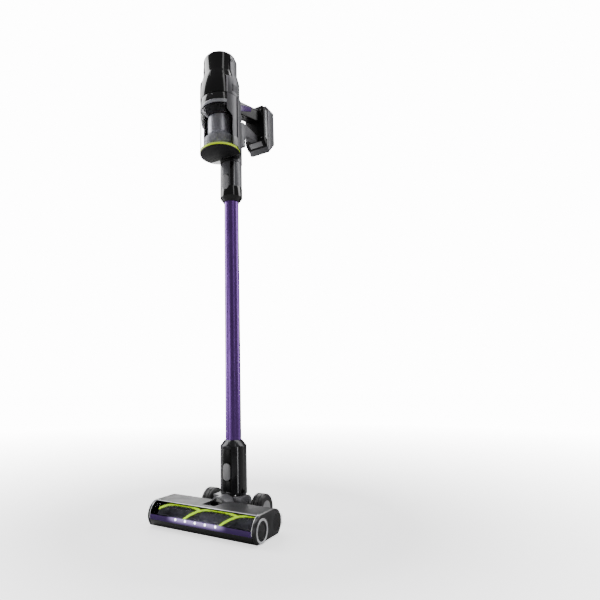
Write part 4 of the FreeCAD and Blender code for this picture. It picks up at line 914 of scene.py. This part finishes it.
def make_bin():
    """Smoked collar, rings, dark funnel, shroud holes, side trims, seal, lid, latch and heel."""
    centre = Vector((0, BIN.y, 0))
    low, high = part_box("bin_cup")
    radius = (high.x - low.x) / 2 / MM
    roof = high.z / MM
    rings = [("bin_collar", "smoked_band", "smoked_clear",
              [(radius - 0.6, roof - 17.5), (radius + 0.25, roof - 17.5), (radius + 0.3, roof - 1),
               (radius + 0.1, roof - 0.4), (radius - 0.6, roof - 0.4)]),
             ("bin_ring", "pale_ring", "bin_clear",
              [(radius - 0.5, roof - 26.5), (radius + 0.3, roof - 26.5), (radius + 0.7, roof - 25.6),
               (radius + 0.7, roof - 18.8), (radius + 0.3, roof - 18), (radius - 0.5, roof - 18)]),
             ("cyclone_funnel", "black_gloss", "black_gloss",
              [(30.5, roof - 44), (31.5, roof - 44.5), (radius - 2.2, roof - 29), (radius - 2.2, roof - 18),
               (radius - 4, roof - 18), (30.5, roof - 40)]),
             ("shroud_ring", "pale_ring", "bin_clear",
              [(29.4, roof - 95), (31.2, roof - 94.4), (31.4, roof - 90), (30.6, roof - 88),
               (29.4, roof - 88)])]
    for name, finish, slot, profile in rings:
        to_object(name, lathe(profile, centre, "Z", 96), MATERIALS[finish], "bin")
    shroud_low, shroud_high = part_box("cyclone_shroud")
    rim = (shroud_high.x - shroud_low.x) / 2 / MM
    roots = []
    rows = 20
    for row in range(rows):
        height = shroud_low.z / MM + 3 + (shroud_high.z - shroud_low.z - 0.006) / MM * row / (rows - 1)
        for step in range(72):
            turn = TAU * (step + (0.5 if row % 2 else 0)) / 72
            way = Vector((math.sin(turn), -math.cos(turn), 0))
            roots.append((centre + way * rim * MM + Vector((0, 0, height * MM)), way))
    # The shroud's holes are black discs: their black is painted shade of the dark inside seen through them.
    scatter("shroud_holes", roots, MATERIALS["black_matte"], "bin", "silver_mesh", "dot",
            Radius=0.0005, Length=0.00012, Spread=0.0, Seed=1)
    for side, tag in SIDES:
        late = math.radians(LEFT_TRIM_LATE) if side < 0 else 0
        trim = panel(centre, radius + 0.05, radius + 0.75, TRIM_FOOT[tag], roof - 0.5,
                     lambda z: side * (seam_angle(z) + late),
                     lambda z: side * math.radians(91), 20, 60)
        to_object("bin_trim_" + tag, trim, MATERIALS["grey_matte"], "bin")
        # Bright line on each seam of the front cover: a painted highlight on its chrome edge.
        line = panel(centre, UNIT_RADIUS - 0.3, UNIT_RADIUS + 0.25, *COVER_SEAM_HIGHLIGHT_SPAN,
                     fixed(side * 53.6), fixed(side * 55.4), 3, 2)
        to_object("cover_seam_" + tag, line, MATERIALS["trim"], "handset")
    turn = math.radians(PIN_ANGLE)
    way = Vector((math.sin(turn), -math.cos(turn), 0))
    spot = centre + way * (radius + 0.2) * MM + Vector((0, 0, PIN_HEIGHT))
    pin = [(0, -1.1), (0.9, -0.9), (1.4, 0), (1.4, 1.2), (0, 1.2)]
    to_object("collar_pin", lathe(pin, spot, "Y", 24, closed=False), MATERIALS["trim"], "bin")

    bead = panel(centre, radius - 1.5, radius + 0.4, 831.4, 836.2, fixed(-112), fixed(112), 96, 3)
    to_object("seal_bead", bead, MATERIALS["green_rubber"], "bin_lid")
    softened("bin_lid", 0.7, MATERIALS["lid_black"])
    softened("bin_latch", 0.5)
    heel = []
    for step in range(25):
        turn = math.radians(112 + 136 * step / 24)
        heel.append(((radius - 0.2) * math.sin(turn), BIN.y / MM - (radius - 0.2) * math.cos(turn), 828.7))
    bar("bin_heel", heel[::-1], 0.9, MATERIALS["black_gloss"], "bin", bevel=0.2)


def make_unit():
    """Cap, front cover, rear housing with its bosses, and the handle and battery pieces."""
    for node, width in (("filter_cap", 0.8), ("motor_front_cover", 0.6), ("rear_housing", 0.7),
                        ("grip_shell", 1.0), ("grip_accent", 0.6)):
        softened(node, width)
    softened("handle_frame", 1.2, MATERIALS["black_soft"])
    for node, width in (("handle_guard", 1.2), ("trigger", 0.8), ("battery_case", 1.0),
                        ("battery_latch", 0.4)):
        softened(node, width)
    axis = Vector((0, BIN.y, BOSS_HEIGHT))
    for side, tag in SIDES:
        turn = math.radians(BOSS_ANGLE)
        way = Vector((side * math.sin(turn), -math.cos(turn), 0))
        spot = surface_hit("rear_housing", axis + way * 0.1, -way)
        if spot:
            boss = [(0, -0.2), (2.3, -0.2), (2.6, 0.35), (3.5, 0.35), (3.9, -0.4), (3.9, -1.6), (0, -1.6)]
            piece = lathe(boss, Vector((0, 0, 0)), "Z", 36, closed=False)
            piece.transform(Matrix.Translation(spot) @ way.to_track_quat("Z", "Y").to_matrix().to_4x4())
            to_object("housing_boss_" + tag, piece, MATERIALS["black_matte"], "handset")


def make_foot_band():
    """Black front of the foot under the lid."""
    centre = Vector((0, WAND_Y, 0))
    for name, inner, outer, low, high in (("foot_sole_band", 18.6, 27.1, 822.9, 823.4),
                                          ("foot_edge_band", 26.75, 27.1, 823.4, 828.5)):
        mesh = panel(centre, inner, outer, low, high, fixed(-105), fixed(45), 48, 1)
        to_object(name, mesh, MATERIALS["lid_black"], "handset")


def make_battery_dress():
    """Pale band round the cradle, black groove and ribs on the pack, ribs on the latch, screws."""
    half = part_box("handle_frame")[1].x / MM
    cradle_rear = 138.4 + WAND_Y / MM
    for side, tag in SIDES:
        face = side * (half + 0.05)
        bar("cradle_band_" + tag, [(face, cradle_rear - 6.6, 956), (face, cradle_rear - 0.4, 952),
                                   (face, cradle_rear - 0.4, 1040), (face, cradle_rear - 6.6, 1040)], 0.5,
            MATERIALS["trim_soft"], "handset", normal=(side, 0, 0), bevel=0.2)
        bar("pack_groove_" + tag, [(face, cradle_rear + 1.4, 937), (face, cradle_rear + 9, 930),
                                   (face, cradle_rear + 9, 1050), (face, cradle_rear + 1.4, 1050)], 0.35,
            MATERIALS["black_gloss"], "battery", normal=(side, 0, 0), bevel=0.15)
        for rib in range(4):
            near = cradle_rear + 15 + 6.5 * rib
            bar(f"pack_rib_{tag}_{rib + 1}", [(face, near, 948), (face, near + 1.6, 949),
                                             (face, near + 1.6, 1046), (face, near, 1046)], 0.5,
                MATERIALS["grey_matte"], "battery", normal=(side, 0, 0), bevel=0.22)
    bar("pack_base", [(-27, cradle_rear + 14.5, 921.5), (27, cradle_rear + 14.5, 921.5),
                      (27, cradle_rear + 42.4, 951.0), (-27, cradle_rear + 42.4, 951.0)], 0.6,
        MATERIALS["lid_black"], "battery", normal=(0, 0.73, -0.68), bevel=0.25)
    low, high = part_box("battery_latch")
    start = Vector((0, low.y, high.z))
    ends = Vector((0, high.y - low.y, low.z - high.z))
    normal = Vector((0, -0.673, -0.74))
    for rib in range(5):
        share = 0.1 + 0.16 * rib
        base = (start + ends * share) / MM + normal * 0.2
        wide = (high.x - low.x) / 2 / MM - 2.5
        step = ends.normalized() * 1.1
        ahead = base + step
        bar(f"latch_rib_{rib + 1}", [(-wide, base.y, base.z), (wide, base.y, base.z),
                                    (wide, ahead.y, ahead.z), (-wide, ahead.y, ahead.z)], 0.7,
            MATERIALS["grey_light"], "battery_latch", normal=tuple(normal), bevel=0.2)
    roots = [(Vector((across, 97.9, height)) * MM, (0, -1, 0))
             for across, height in ((4, 954), (-14, 952), (22, 954), (-20, 1038), (20, 1038))]
    scatter("cradle_screws", roots, MATERIALS["steel"], "handset", "steel", "dot",
            Radius=0.0022, Length=0.0012, Spread=0.0, Seed=1)


def finish_cad_nodes():
    """Give every CAD node the finish of its slot."""
    for node, piece in NODES.items():
        piece.data.materials.clear()
        piece.data.materials.append(MATERIALS[SLOT_OF[node]])


finish_cad_nodes()
make_stage()
make_head_trim()
make_brush()
make_head_sides()
make_wheels()
make_neck()
make_wand()
make_bin()
make_unit()
make_foot_band()
make_battery_dress()
